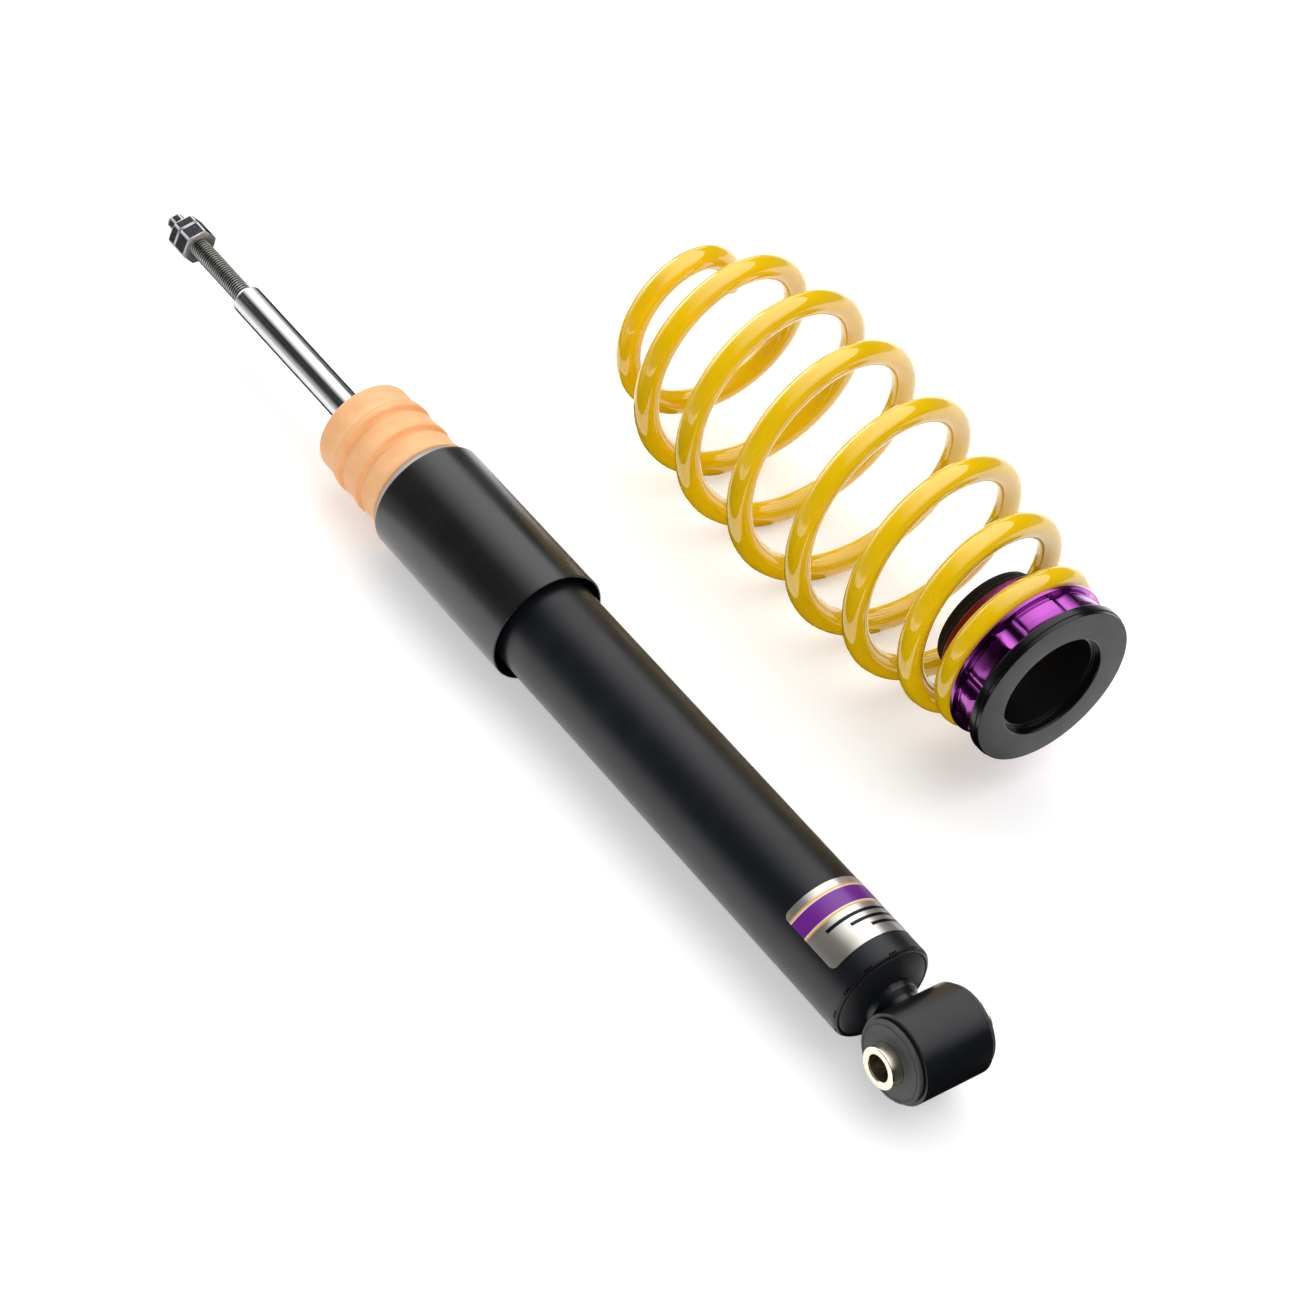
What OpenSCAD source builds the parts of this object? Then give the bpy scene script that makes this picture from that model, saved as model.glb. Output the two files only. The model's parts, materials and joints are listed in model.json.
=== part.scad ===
// Rear suspension kit: a telescopic damper with its bump stop and dust tube, and beside it
// a barrel spring on a threaded height adjuster. The origin is the centre of the damper's
// lower eye. The damper runs along -X, the eye's bolt along Y, and Z is up.

/* [Kit layout] */
// Turn of the spring set away from the damper's direction, in degrees
set_yaw = 1; // [0:0.5:4]
// Seat face of the spring set, measured along the damper from the lower eye
set_along = 114.9; // [90:0.1:140]
// Seat face of the spring set, measured sideways from the damper's axis
set_aside = 158.3; // [145:0.1:190]

/* [Lower eye] */
// Outer diameter of the eye's barrel
eye_od = 41; // [39:0.5:44]
// Width of the eye's barrel
eye_width = 36; // [32:0.5:40]
// Wall of the eye's barrel
eye_wall = 2.5; // [2:0.25:3.5]
// Outer diameter of the bush's inner sleeve
sleeve_od = 19.2; // [17:0.2:22]
// Length of the bush's inner sleeve
sleeve_len = 54.6; // [50:0.2:60]
// Bore of the sleeve, for an M12 bolt
bolt_bore = 12.2; // [10.2:0.1:14.2]
// Chamfer at each end of the sleeve's bore
bore_chamfer = 0.8; // [0.4:0.1:1.2]
// Diameter of the rubber lip outside the barrel
lip_d = 37.4; // [35:0.2:39]
// Width of the rubber lip
lip_w = 2.3; // [1.5:0.1:3]
// Groove between the barrel's edge and the rubber lip
lip_groove = 0.6; // [0.4:0.1:1]
// How far the rubber climbs the sleeve beyond the lip
rubber_flare = 2; // [1:0.1:3]
// Diameter of the neck that is welded to the barrel
neck_d = 19.7; // [17:0.1:21]
// Diameter of the neck's collar
collar_d = 24.6; // [22.4:0.2:27]
// Distance from the eye's centre to the collar
collar_from = 22.6; // [21.6:0.1:23.4]
// Length of the cone between the neck and its collar
collar_cone = 2.4; // [1.6:0.1:3.2]

/* [Damper tube] */
// Outer diameter of the tube
tube_od = 50; // [48:0.5:53]
// Wall of the tube
tube_wall = 2; // [1.5:0.25:2.5]
// Distance from the eye's centre to the tube's lower edge
tube_from = 30.5; // [29:0.5:34]
// Length of the tube
tube_len = 312.5; // [290:0.5:330]
// Rounding of the tube's lower edge
roll_r = 1.75; // [1:0.25:3]
// How far the domed base stands out of the tube
dome_h = 4.5; // [2:0.25:5]
// Thickness of the domed base at its rim
base_t = 3; // [2:0.25:5]
// Thickness of the closing cap on the tube's top
cap_t = 2; // [1.5:0.25:3]
// Distance from the tube's lower edge to the foil label
label_from = 11.5; // [8:0.5:20]
// Length of the foil label along the tube
label_len = 34; // [24:1:44]
// Sweep of the foil label round the tube, in degrees
label_sweep = 112; // [80:1:140]
// Thickness of the foil label
label_t = 0.2; // [0.15:0.05:0.3]
// Thickness of the glue under the foil label
glue_t = 0.03; // [0.02:0.01:0.06]

/* [Inside the tube] */
// Bore of the working cylinder
cyl_bore = 30; // [28:0.5:32]
// Wall of the working cylinder
cyl_wall = 2; // [1.5:0.25:2.5]
// Height of the base valve's foot
foot_h = 6; // [5:0.5:9]
// Height of the spigots that hold the working cylinder
spigot_h = 5; // [3:0.5:7]
// Height of the rod guide's flange
guide_h = 12; // [10:0.5:14]
// Height of the rod seal
seal_h = 4; // [3:0.5:6]
// Wall of the guide's bearing bush
guide_bush_wall = 1.2; // [1:0.1:1.6]
// Height of the piston
piston_h = 12; // [10:0.5:16]
// Height of the piston's sliding band
band_h = 6; // [4:0.5:8]
// Thickness of the piston's sliding band
band_t = 1.2; // [1:0.1:1.6]
// Diameter of the shim stacks
shim_d = 24; // [22:0.5:26]
// Thickness of each shim stack
shim_h = 1.2; // [0.8:0.1:2]
// Diameter of the oil passages
passage_d = 3; // [2:0.25:3.5]
// Number of oil passages
passages = 6; // [4:1:8]
// Diameter of the base valve's bolt
valve_bolt_d = 5; // [4:0.5:6]
// Height of the base valve bolt's head and nut
valve_head_h = 2.4; // [2:0.2:3]
// Height of the rebound stop
stop_h = 8; // [6:0.5:12]
// Thickness of the retaining ring under the rebound stop
clip_t = 1.5; // [1:0.25:2]

/* [Piston rod] */
// Diameter of the piston rod
rod_d = 15.2; // [14.6:0.2:16]
// Length of rod that shows above the closing cap when it is fully out
rod_show = 186; // [160:1:210]
// Length of rod from the closing cap down to the piston's shoulder
rod_tail = 55; // [50:1:80]
// Chamfer on the rod's upper shoulder
rod_chamfer = 1; // [0.5:0.1:1.4]
// Diameter of the threaded studs at both ends of the rod
stud_d = 10; // [9:0.5:11]
// Pitch of the upper stud's thread
stud_pitch = 1.5; // [1.25:0.25:2]
// Length of the upper stud, with its hexagon tip
stud_len = 68.5; // [64:0.5:80]
// Length of the hexagon tip above the nuts
tip_len = 10.3; // [8:0.1:13]
// Width across the flats of the hexagon tip
tip_af = 8; // [7:0.1:8.5]
// Width across the flats of the rod's nuts
nut_af = 17; // [16:0.5:19]
// Height of the lower rod nut
nut_h = 8.8; // [7:0.1:10]
// Height of the upper jam nut
jam_h = 5.8; // [4:0.1:7]
// Direction of a nut's corner about the rod, in degrees from +Y towards +Z
nut_turn = 44; // [0:1:59]

/* [Bump stop and dust tube] */
// Length of the bump stop
bump_len = 81.9; // [78:0.1:92]
// Diameter of the bump stop's plain top
bump_top_d = 50.2; // [48:0.2:52]
// Length of the bump stop's plain top
bump_top_len = 11; // [9:0.5:12]
// Diameter over the ridge above each groove
bump_crest_d = 53.4; // [52:0.2:55]
// Diameter at the waist between two grooves
bump_waist_d = 51.2; // [50:0.2:51.8]
// Diameter over the lip below each groove
bump_lip_d = 52; // [51:0.2:53]
// Diameter in the bump stop's grooves
bump_groove_d = 48; // [45:0.2:49]
// Distance from the bump stop's top face to its first groove
groove_from = 21.3; // [20:0.1:24]
// Distance from one groove to the next
groove_step = 15.5; // [15:0.1:17]
// Width of each groove
groove_w = 3; // [2.4:0.2:3.6]
// Rounding of the bump stop's top rim
bump_rim_r = 2.5; // [1.5:0.25:4]
// Outer diameter of the dust tube
dust_od = 59; // [57.5:0.5:63]
// Wall of the dust tube
dust_wall = 1; // [0.8:0.1:1.4]
// Length of the dust tube
dust_len = 101.1; // [80:0.1:120]
// Height of the dust tube's sloping shoulder
shoulder_h = 4.4; // [3:0.2:6]
// Height of the bead that snaps into the bump stop's third groove
bead_h = 2.2; // [1.6:0.1:2.4]

/* [Spring] */
// Diameter of the spring wire
wire_d = 12.2; // [11:0.2:12.4]
// Number of turns, counted along the wire
turns = 7.62; // [6:0.02:8]
// Part of the first turn that lies flat on the seat
seat_turns = 0.4; // [0.2:0.05:0.6]
// Pitch where the wire leaves the seat
pitch_low = 26; // [22:0.5:30]
// Pitch that the middle turns tend to
pitch_mid = 61.5; // [55:0.5:65]
// Pitch of the last turn
pitch_high = 25.6; // [22:0.2:30]
// Turns over which the pitch grows from the seat
low_ease_turns = 6.2; // [5:0.1:7]
// Turns over which the pitch falls to the end
high_ease_turns = 4; // [3:0.1:4.5]
// Mean radius of the barrel's widest turns
coil_r = 55.5; // [53:0.5:58]
// Mean radius of the turn on the seat
coil_r_low = 38.2; // [38.2:0.1:40]
// Mean radius at the spring's upper end
coil_r_high = 28.7; // [26:0.1:36]
// Turns over which the spring widens from its seat
widen_turns = 3.8; // [3:0.1:5]
// Turns over which the spring narrows to its end
narrow_turns = 2.25; // [1.8:0.05:3]
// Direction of the wire's lower end, in degrees from +Y towards +Z
wire_start = 231.7; // [0:0.1:359.9]

/* [Height adjuster] */
// Diameter of the base's seat face
flange_d = 84; // [80:0.5:90]
// Thickness of the base's flange
flange_t = 5.8; // [4.5:0.1:7]
// Thickness of the flange's lower step
step_t = 2.1; // [1.5:0.1:3]
// How far the flange's upper step stands out
step_out = 0.6; // [0.3:0.1:1]
// Outer diameter of the sleeve's thread
thread_d = 60; // [58:0.5:62]
// Pitch of the sleeve's thread
thread_pitch = 2; // [1.5:0.25:2.5]
// Depth of the sleeve's thread
thread_depth = 0.9; // [0.6:0.05:1.1]
// Height of the sleeve above the seat face, without its nose
sleeve_h = 41; // [38:0.5:50]
// Length of the sleeve's tapered nose
nose_len = 8; // [6:0.5:10]
// Diameter at the nose's tip
nose_d = 54; // [53:0.5:56]
// Bore of the base, which goes over the vehicle's spigot
base_bore = 50; // [47:0.5:51]
// Diameter of the counterbore in the seat face
counterbore_d = 54; // [52.5:0.5:57]
// Depth of the counterbore
counterbore_h = 4.2; // [3:0.1:5]
// Radius of the rounded lip round the counterbore
lip_r = 0.9; // [0.5:0.1:1.4]
// Gap between the base's flange and the adjuster ring
ring_gap = 1.5; // [0.5:0.1:3]
// Diameter of the adjuster ring's underside
ring_foot_d = 75; // [74:0.5:78]
// Height of the chamfer under the ring's band
ring_chamfer_h = 3.7; // [2:0.1:5]
// Diameter of the ring's notched band
band_d = 80; // [79:0.5:83]
// Height of the ring's notched band
band_len = 5; // [4:0.1:7]
// Depth of the cove between the band and the rim
cove_in = 1; // [0.5:0.1:1.5]
// Height of the cove between the band and the rim
cove_h = 2.2; // [1.5:0.1:3]
// Diameter of the rim that carries the spring
rim_d = 84.4; // [82:0.2:90]
// Thickness of the rim that carries the spring
rim_t = 2.2; // [1.6:0.1:3]
// Rounding of the rim's edges
rim_edge = 0.7; // [0.3:0.1:0.8]
// Diameter of the collar that centres the spring
collar_od = 63.2; // [62:0.2:63.4]
// Height of the collar above the rim
collar_h = 20; // [14:0.5:24]
// Number of spanner notches
notches = 8; // [4:1:10]
// Width of a spanner notch
notch_w = 12.4; // [8:0.2:14]
// Radius of a spanner notch's hollow
notch_r = 7.2; // [7.1:0.1:9]
// Direction of the first notch, in degrees from +Y towards +Z
notch_turn = 35.6; // [0:0.1:89.9]

/* [Fits] */
// Gap between a soft or loose piece and its seat
rest_gap = 0.3; // [0.25:0.05:0.4]
// Radial clearance of a running fit
run_gap = 0.05; // [0.03:0.01:0.08]
// Radial clearance of the ring on the sleeve's thread
screw_gap = 0.1; // [0.05:0.01:0.1]

/* [Hidden] */
$fn = 96;
little = 0.01;

// Damper stations, all as distances from the eye's centre along the damper
tube_r = tube_od / 2;
tube_end = tube_from + tube_len;
cap_top = tube_end + cap_t;
base_face = tube_from - dome_h;
floor_top = tube_from + base_t;
foot_top = floor_top + foot_h;
guide_top = tube_end - seal_h;
guide_low = guide_top - guide_h;
cyl_r = cyl_bore / 2;
cyl_outer_r = cyl_r + cyl_wall;
cup_r = tube_r - tube_wall;

// Piston rod stations
rod_r = rod_d / 2;
stud_r = stud_d / 2;
shoulder = cap_top + rod_show;
stud_end = shoulder + stud_len;
thread_end = stud_end - tip_len;
jam_from = thread_end - jam_h;
nut_from = jam_from - nut_h;
piston_seat = cap_top - rod_tail;
piston_from = piston_seat - shim_h - piston_h;
piston_nut_h = 8;
piston_nut_from = piston_from - shim_h - piston_nut_h;
tail_end = piston_nut_from - 2;
stop_top = guide_low - spigot_h - rest_gap;
clip_from = stop_top - stop_h - clip_t;
clip_depth = 1;
stud_relief = 0.3;
piston_r = cyl_r - 4 * run_gap;
groove_r = cyl_r - run_gap - band_t - run_gap;
band_from = piston_from + (piston_h - band_h) / 2;

// Bump stop stations
bump_from = cap_top + rest_gap;
bump_top = bump_from + bump_len;
bead_groove_count = 2;
bead_mid = bump_top - groove_from - bead_groove_count * groove_step;
dust_top = bead_mid + bead_h / 2;

// Spring set stations, as heights above the seat face along the set's axis
set_up = coil_r + wire_d / 2 - dust_od / 2;
ring_from = flange_t + ring_gap;
ring_band = ring_from + ring_chamfer_h;
ring_cove = ring_band + band_len;
rim_from = ring_cove + cove_h;
rim_top = rim_from + rim_t;
ring_bore_r = thread_d / 2 + screw_gap;
wire_r = wire_d / 2;
wire_from = rim_top + rest_gap + wire_r;
wire_sides = 8;
rings_per_turn = 24;

// Puts a piece drawn upward from the origin along the damper, from the eye to the rod's tip
module along_damper(at = 0) {
    rotate([0, -90, 0]) translate([0, 0, at]) children();
}

// Puts a piece drawn upward from the seat face where the spring set lies
module on_set(at = 0) {
    translate([-set_along, set_aside, set_up]) rotate([0, 0, -set_yaw])
        rotate([0, -90, 0]) translate([0, 0, at]) children();
}

// Puts a piece drawn about Z on the eye's own axis
module across_eye() {
    rotate([90, 0, 0]) children();
}

// Repeats a piece round its axis
module round_array(count, turn = 0) {
    for (i = [0:count - 1]) rotate([0, 0, turn + i * 360 / count]) children();
}

// A ring of one inner and one outer radius
module ring(r_out, r_in, h) {
    difference() {
        cylinder(r = r_out, h = h);
        translate([0, 0, -little]) cylinder(r = r_in, h = h + 2 * little);
    }
}

// Points of an arc in the profile plane
function arc(cr, cz, r, from, to, steps = 6) =
    [for (i = [0:steps]) let (a = from + (to - from) * i / steps) [cr + r * cos(a), cz + r * sin(a)]];

// Zigzag of thread crests and roots from one height to another
function zigzag(crest, depth, pitch, from, to) =
    [for (i = [0:floor((to - from) / pitch) - 1], p = [[0.1, 0], [0.45, depth], [0.55, depth], [0.9, 0]])
        [crest - p[1], from + (i + p[0]) * pitch]];

// A hexagon nut with 30 degree chamfers at both ends
module hex_nut(af, h, bore_r) {
    corner_r = af / 2 / cos(30);
    face_r = af / 2 * 0.97;
    fall = (corner_r - face_r) * tan(30);
    difference() {
        intersection() {
            cylinder(r = corner_r, h = h, $fn = 6);
            rotate_extrude() polygon([[0, 0], [face_r, 0], [corner_r, fall], [corner_r, h - fall],
                                      [face_r, h], [0, h]]);
        }
        translate([0, 0, -little]) cylinder(r = bore_r, h = h + 2 * little);
    }
}

// Tube with a rounded lower edge
module outer_tube() {
    edge_r = min(roll_r, tube_wall);
    color("#26282c") along_damper() rotate_extrude() polygon(concat(
        [[cup_r, tube_from]],
        arc(tube_r - edge_r, tube_from + edge_r, edge_r, -90, 0),
        [[tube_r, tube_end], [cup_r, tube_end]]));
}

// Domed base: a plug in the tube's bore that slopes out towards the neck
module base_cap() {
    color("#1c1d20") along_damper() rotate_extrude() polygon([
        [0, base_face], [collar_d / 2, base_face], [cup_r, tube_from], [cup_r, floor_top], [0, floor_top]]);
}

// Neck with its collar, welded between the eye's barrel and the domed base
module eye_neck() {
    neck_r = neck_d / 2;
    collar_r = collar_d / 2;
    color("#2a2c30") difference() {
        along_damper() rotate_extrude() polygon([
            [0, 0], [neck_r, 0], [neck_r, collar_from - collar_cone], [collar_r, collar_from],
            [collar_r, base_face], [0, base_face]]);
        across_eye() cylinder(d = eye_od, h = eye_width, center = true);
    }
}

// Barrel of the lower eye
module eye_ring() {
    color("#222428") across_eye() translate([0, 0, -eye_width / 2])
        ring(eye_od / 2, eye_od / 2 - eye_wall, eye_width);
}

// Half of the rubber bush's outline, from its middle to its flare on the sleeve
function bush_side(side) = let (
    bore = sleeve_od / 2 + run_gap,
    seat = eye_od / 2 - eye_wall,
    edge = eye_width / 2,
    lip_at = edge + lip_groove,
    face = lip_at + lip_w,
    rows = [[seat, edge], [seat - lip_groove, edge], [seat - lip_groove, lip_at], [lip_d / 2, lip_at],
            [lip_d / 2, face], [bore + 2 * rubber_flare, face], [bore, face + rubber_flare]]
) side > 0 ? [for (p = rows) p] : [for (i = [len(rows) - 1:-1:0]) [rows[i][0], -rows[i][1]]];

// Rubber bush between the barrel and the sleeve
module eye_bush() {
    color("#55565a") across_eye() rotate_extrude() polygon(concat(bush_side(-1), bush_side(1)));
}

// Steel sleeve that turns in the rubber bush
module bush_sleeve() {
    bore = bolt_bore / 2;
    half = sleeve_len / 2;
    color("#d8cfbd") across_eye() rotate_extrude() polygon([
        [bore, -half + bore_chamfer], [bore + bore_chamfer, -half], [sleeve_od / 2, -half],
        [sleeve_od / 2, half], [bore + bore_chamfer, half], [bore, half - bore_chamfer]]);
}

// Foil label on the tube, facing up
module label() {
    color("#cfcac0") along_damper(tube_from + label_from) rotate([0, 0, -label_sweep / 2])
        rotate_extrude(angle = label_sweep)
            translate([tube_r + glue_t, 0]) square([label_t, label_len]);
}

// Cap that closes the tube's top
module tube_cap() {
    color("#303236") along_damper(tube_end) ring(tube_r, rod_r + 3 * rest_gap, cap_t);
}

// Rubber seal under the cap, running on the rod
module rod_seal() {
    color("#1b1b1b") along_damper(guide_top) ring(cup_r, rod_r + run_gap, seal_h);
}

// Guide that centres the rod and the working cylinder in the tube
module rod_guide() {
    bush_r = rod_r + run_gap + guide_bush_wall;
    color("#8f9196") along_damper() rotate_extrude() polygon([
        [bush_r, guide_low - spigot_h], [cyl_r, guide_low - spigot_h], [cyl_r, guide_low],
        [cup_r, guide_low], [cup_r, guide_top], [bush_r, guide_top]]);
}

// Bearing bush in the guide
module guide_bush() {
    color("#a8763e") along_damper(guide_low - spigot_h)
        ring(rod_r + run_gap + guide_bush_wall, rod_r + run_gap, guide_h + spigot_h);
}

// Working cylinder between the base valve and the guide
module inner_cylinder() {
    color("#9b9da2") along_damper(foot_top) ring(cyl_outer_r, cyl_r, guide_low - foot_top);
}

// Base valve: a slotted foot, and a spigot in the working cylinder with oil passages
module base_valve() {
    foot_wall = 3;
    shelf = 2;
    slot_w = 5;
    slot_h = 3;
    color("#b4a15a") along_damper() difference() {
        rotate_extrude() polygon([
            [valve_bolt_d / 2, foot_top - shelf], [cyl_outer_r - foot_wall, foot_top - shelf],
            [cyl_outer_r - foot_wall, floor_top], [cyl_outer_r, floor_top], [cyl_outer_r, foot_top],
            [cyl_r, foot_top], [cyl_r, foot_top + spigot_h], [valve_bolt_d / 2, foot_top + spigot_h]]);
        round_array(passages) translate([cyl_r - passage_d - 1, 0, foot_top - shelf - little])
            cylinder(d = passage_d, h = spigot_h + shelf + 2 * little);
        round_array(4, 45) translate([0, -slot_w / 2, floor_top - little])
            cube([cyl_outer_r + 1, slot_w, slot_h + little]);
    }
}

// Bolt through the base valve, with a head below and a nut above
module base_valve_bolt() {
    shelf = 2;
    color("#7d8086") along_damper() rotate_extrude() polygon([
        [0, foot_top - shelf - valve_head_h], [valve_bolt_d, foot_top - shelf - valve_head_h],
        [valve_bolt_d, foot_top - shelf], [valve_bolt_d / 2, foot_top - shelf],
        [valve_bolt_d / 2, foot_top + spigot_h], [valve_bolt_d, foot_top + spigot_h],
        [valve_bolt_d, foot_top + spigot_h + valve_head_h], [0, foot_top + spigot_h + valve_head_h]]);
}

// Piston rod with a plain tail for the piston, a threaded upper stud and a hexagon tip
module piston_rod() {
    tip_r = tip_af / 2 / cos(30);
    tip_bevel = 1.2;
    color("#e6e8ea") along_damper() {
        rotate_extrude() polygon(concat(
            [[0, tail_end], [stud_r, tail_end], [stud_r, piston_seat], [rod_r, piston_seat],
             [rod_r, clip_from], [rod_r - clip_depth, clip_from],
             [rod_r - clip_depth, clip_from + clip_t], [rod_r, clip_from + clip_t],
             [rod_r, shoulder - rod_chamfer], [rod_r - rod_chamfer, shoulder],
             [stud_r - stud_relief, shoulder], [stud_r, shoulder + stud_relief]],
            zigzag(stud_r, stud_pitch * 0.45, stud_pitch, shoulder + stud_relief, thread_end),
            [[stud_r - stud_relief, thread_end], [0, thread_end]]));
        intersection() {
            rotate([0, 0, 90 - nut_turn]) translate([0, 0, thread_end - little])
                cylinder(r = tip_r, h = tip_len + little, $fn = 6);
            rotate_extrude() polygon([
                [0, thread_end - little], [tip_r, thread_end - little], [tip_r, stud_end - tip_bevel],
                [tip_r - tip_bevel, stud_end], [0, stud_end]]);
        }
    }
}

// Piston with oil passages and a groove for its band
module piston() {
    passage_r = shim_d / 2 - passage_d / 2 - 0.5;
    color("#8b6f3d") along_damper(piston_from) difference() {
        rotate_extrude() polygon([
            [stud_r, 0], [piston_r, 0], [piston_r, (piston_h - band_h) / 2],
            [groove_r, (piston_h - band_h) / 2], [groove_r, (piston_h + band_h) / 2],
            [piston_r, (piston_h + band_h) / 2], [piston_r, piston_h], [stud_r, piston_h]]);
        round_array(passages) translate([passage_r, 0, -little])
            cylinder(d = passage_d, h = piston_h + 2 * little);
    }
}

// Sliding band round the piston, which stays put while the rod turns
module piston_band() {
    color("#2f4f4f") along_damper(band_from + run_gap)
        ring(cyl_r - run_gap, groove_r + run_gap, band_h - 2 * run_gap);
}

// Shims above the piston, which meter the oil in compression
module compression_shims() {
    color("#5c7fa8") along_damper(piston_seat - shim_h) ring(shim_d / 2, stud_r, shim_h);
}

// Shims under the piston, which meter the oil in rebound
module rebound_shims() {
    color("#5c7fa8") along_damper(piston_from - shim_h) ring(shim_d / 2, stud_r, shim_h);
}

// Nut that clamps the piston and its shims to the rod
module piston_nut() {
    color("#6f7277") along_damper(piston_nut_from) hex_nut(nut_af, piston_nut_h, stud_r);
}

// Stop that meets the guide when the rod is fully out
module rebound_stop() {
    stop_gap = 2;
    color("#3d3f42") along_damper(stop_top - stop_h) ring(cyl_r - stop_gap, rod_r, stop_h);
}

// Ring in the rod's groove that holds the rebound stop
module retaining_ring() {
    color("#4a4d52") along_damper(clip_from) ring(rod_r + 1.5 * clip_depth, rod_r - clip_depth, clip_t);
}

// Lower nut on the rod's stud
module lower_nut() {
    color("#c9ccd0") along_damper(nut_from) rotate([0, 0, 90 - nut_turn]) hex_nut(nut_af, nut_h, stud_r);
}

// Jam nut above the lower nut
module upper_nut() {
    color("#c9ccd0") along_damper(jam_from) rotate([0, 0, 90 - nut_turn]) hex_nut(nut_af, jam_h, stud_r);
}

// Points of one cell of the bump stop, from the top of one groove up to the lip below the next
function cell(from, to, groove, ridge, waist, lip, rise = 1.6, fall = 0.9) = [
    [groove, from], [ridge - 0.5, from + rise / 3], [ridge, from + rise], [ridge - 0.2, from + 2 * rise],
    [(ridge + waist) / 2, from + 3 * rise], [waist, (from + to) / 2 + rise], [lip, to - fall],
    [lip - 0.5, to], [groove, to + fall / 3]];

// Foam bump stop: cells parted by narrow grooves under a plain top, and a bore that grips the rod
module bump_stop() {
    groove = bump_groove_d / 2;
    ridge = bump_crest_d / 2;
    top_r = bump_top_d / 2;
    bore = rod_r + rest_gap;
    first = bump_top - groove_from;
    count = floor((bump_len - groove_from - groove_w) / groove_step);
    lowest = first - count * groove_step - groove_w / 2;
    crest = first + groove_w / 2 + 2;
    color("#e98a3f") along_damper() rotate_extrude() polygon(concat(
        [[bore, bump_from], [groove - 2, bump_from],
         [groove, min(bump_from + 2, lowest)], [groove, lowest]],
        [for (i = [count:-1:1], p = cell(first - i * groove_step + groove_w / 2,
                                         first - (i - 1) * groove_step - groove_w / 2,
                                         groove, ridge, bump_waist_d / 2, bump_lip_d / 2)) p],
        [[groove, first + groove_w / 2], [ridge - 0.4, crest - 1.4], [ridge, crest],
         [ridge - 0.3, crest + 1], [top_r, bump_top - bump_top_len]],
        arc(top_r - bump_rim_r, bump_top - bump_rim_r, bump_rim_r, 0, 90),
        [[bore, bump_top]]));
}

// Dust tube: its sloping shoulder ends in a lip that snaps into the bump stop's third groove
module dust_tube() {
    r_out = dust_od / 2;
    r_in = r_out - dust_wall;
    bead_r = bump_groove_d / 2;
    lip_r = bump_lip_d / 2;
    color("#17181a") along_damper() rotate_extrude() polygon([
        [r_in, dust_top - dust_len], [r_out, dust_top - dust_len], [r_out, dust_top - shoulder_h],
        [lip_r + 0.6, dust_top], [bead_r, dust_top], [bead_r, dust_top - bead_h],
        [lip_r + 0.6, dust_top - bead_h], [r_in, dust_top - shoulder_h - 0.6]]);
}

// Height of the wire's centre above the seat face after t turns
function wire_up(t) = let (
    a = max(0, t - seat_turns),
    low = max(0, 1 - a / low_ease_turns),
    high = max(0, 1 - (turns - t) / high_ease_turns)
) wire_from + pitch_mid * a - (pitch_mid - pitch_low) * low_ease_turns / 2 * (1 - low * low)
  - (pitch_mid - pitch_high) * high_ease_turns / 2 * high * high;

// Mean radius of the spring after t turns
function wire_out(t) = let (
    low = max(0, 1 - max(0, t - seat_turns) / widen_turns),
    high = max(0, 1 - (turns - t) / narrow_turns)
) coil_r - (coil_r - coil_r_low) * low * low - (coil_r - coil_r_high) * high * high;

// Centre of the wire after t turns, wound right-handed about Z
function wire_at(t) = let (a = 90 - wire_start + 360 * t)
    [wire_out(t) * cos(a), wire_out(t) * sin(a), wire_up(t)];

ring_count = ceil(turns * rings_per_turn);
function ring_turn(i) = turns * i / ring_count;

// Ring of points about the wire's centre, square to the wire
function wire_ring(i) = let (
    t = ring_turn(i),
    a = 90 - wire_start + 360 * t,
    step = 0.001,
    ahead = wire_at(min(t + step, turns)) - wire_at(max(t - step, 0)),
    along = ahead / norm(ahead),
    out = [cos(a), sin(a), 0],
    side = out - (out * along) * along,
    u = side / norm(side),
    v = cross(along, u)
) [for (k = [0:wire_sides - 1]) let (b = 360 * k / wire_sides)
    wire_at(t) + wire_r * (cos(b) * u + sin(b) * v)];

// Barrel spring: one unbroken tube, wound right-handed, with square-cut ends
module coil_spring() {
    points = [for (i = [0:ring_count], p = wire_ring(i)) p];
    walls = [for (i = [0:ring_count - 1], k = [0:wire_sides - 1]) let (
        a = i * wire_sides + k,
        b = i * wire_sides + (k + 1) % wire_sides,
        c = a + wire_sides,
        d = b + wire_sides
    ) each [[a, c, b], [b, c, d]]];
    ends = [for (k = [1:wire_sides - 2]) each [
        [0, k, k + 1],
        [ring_count * wire_sides, ring_count * wire_sides + k + 1, ring_count * wire_sides + k]]];
    color("#e8b51e") on_set() polyhedron(points, concat(walls, ends), convexity = 10);
}

// Least gap of the wire to itself, from the centres of the rings more than half a turn apart
function wire_gap() = min([for (i = [0:ring_count], j = [i + rings_per_turn / 2:1:ring_count])
    norm(wire_at(ring_turn(i)) - wire_at(ring_turn(j))) - wire_d]);

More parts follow.
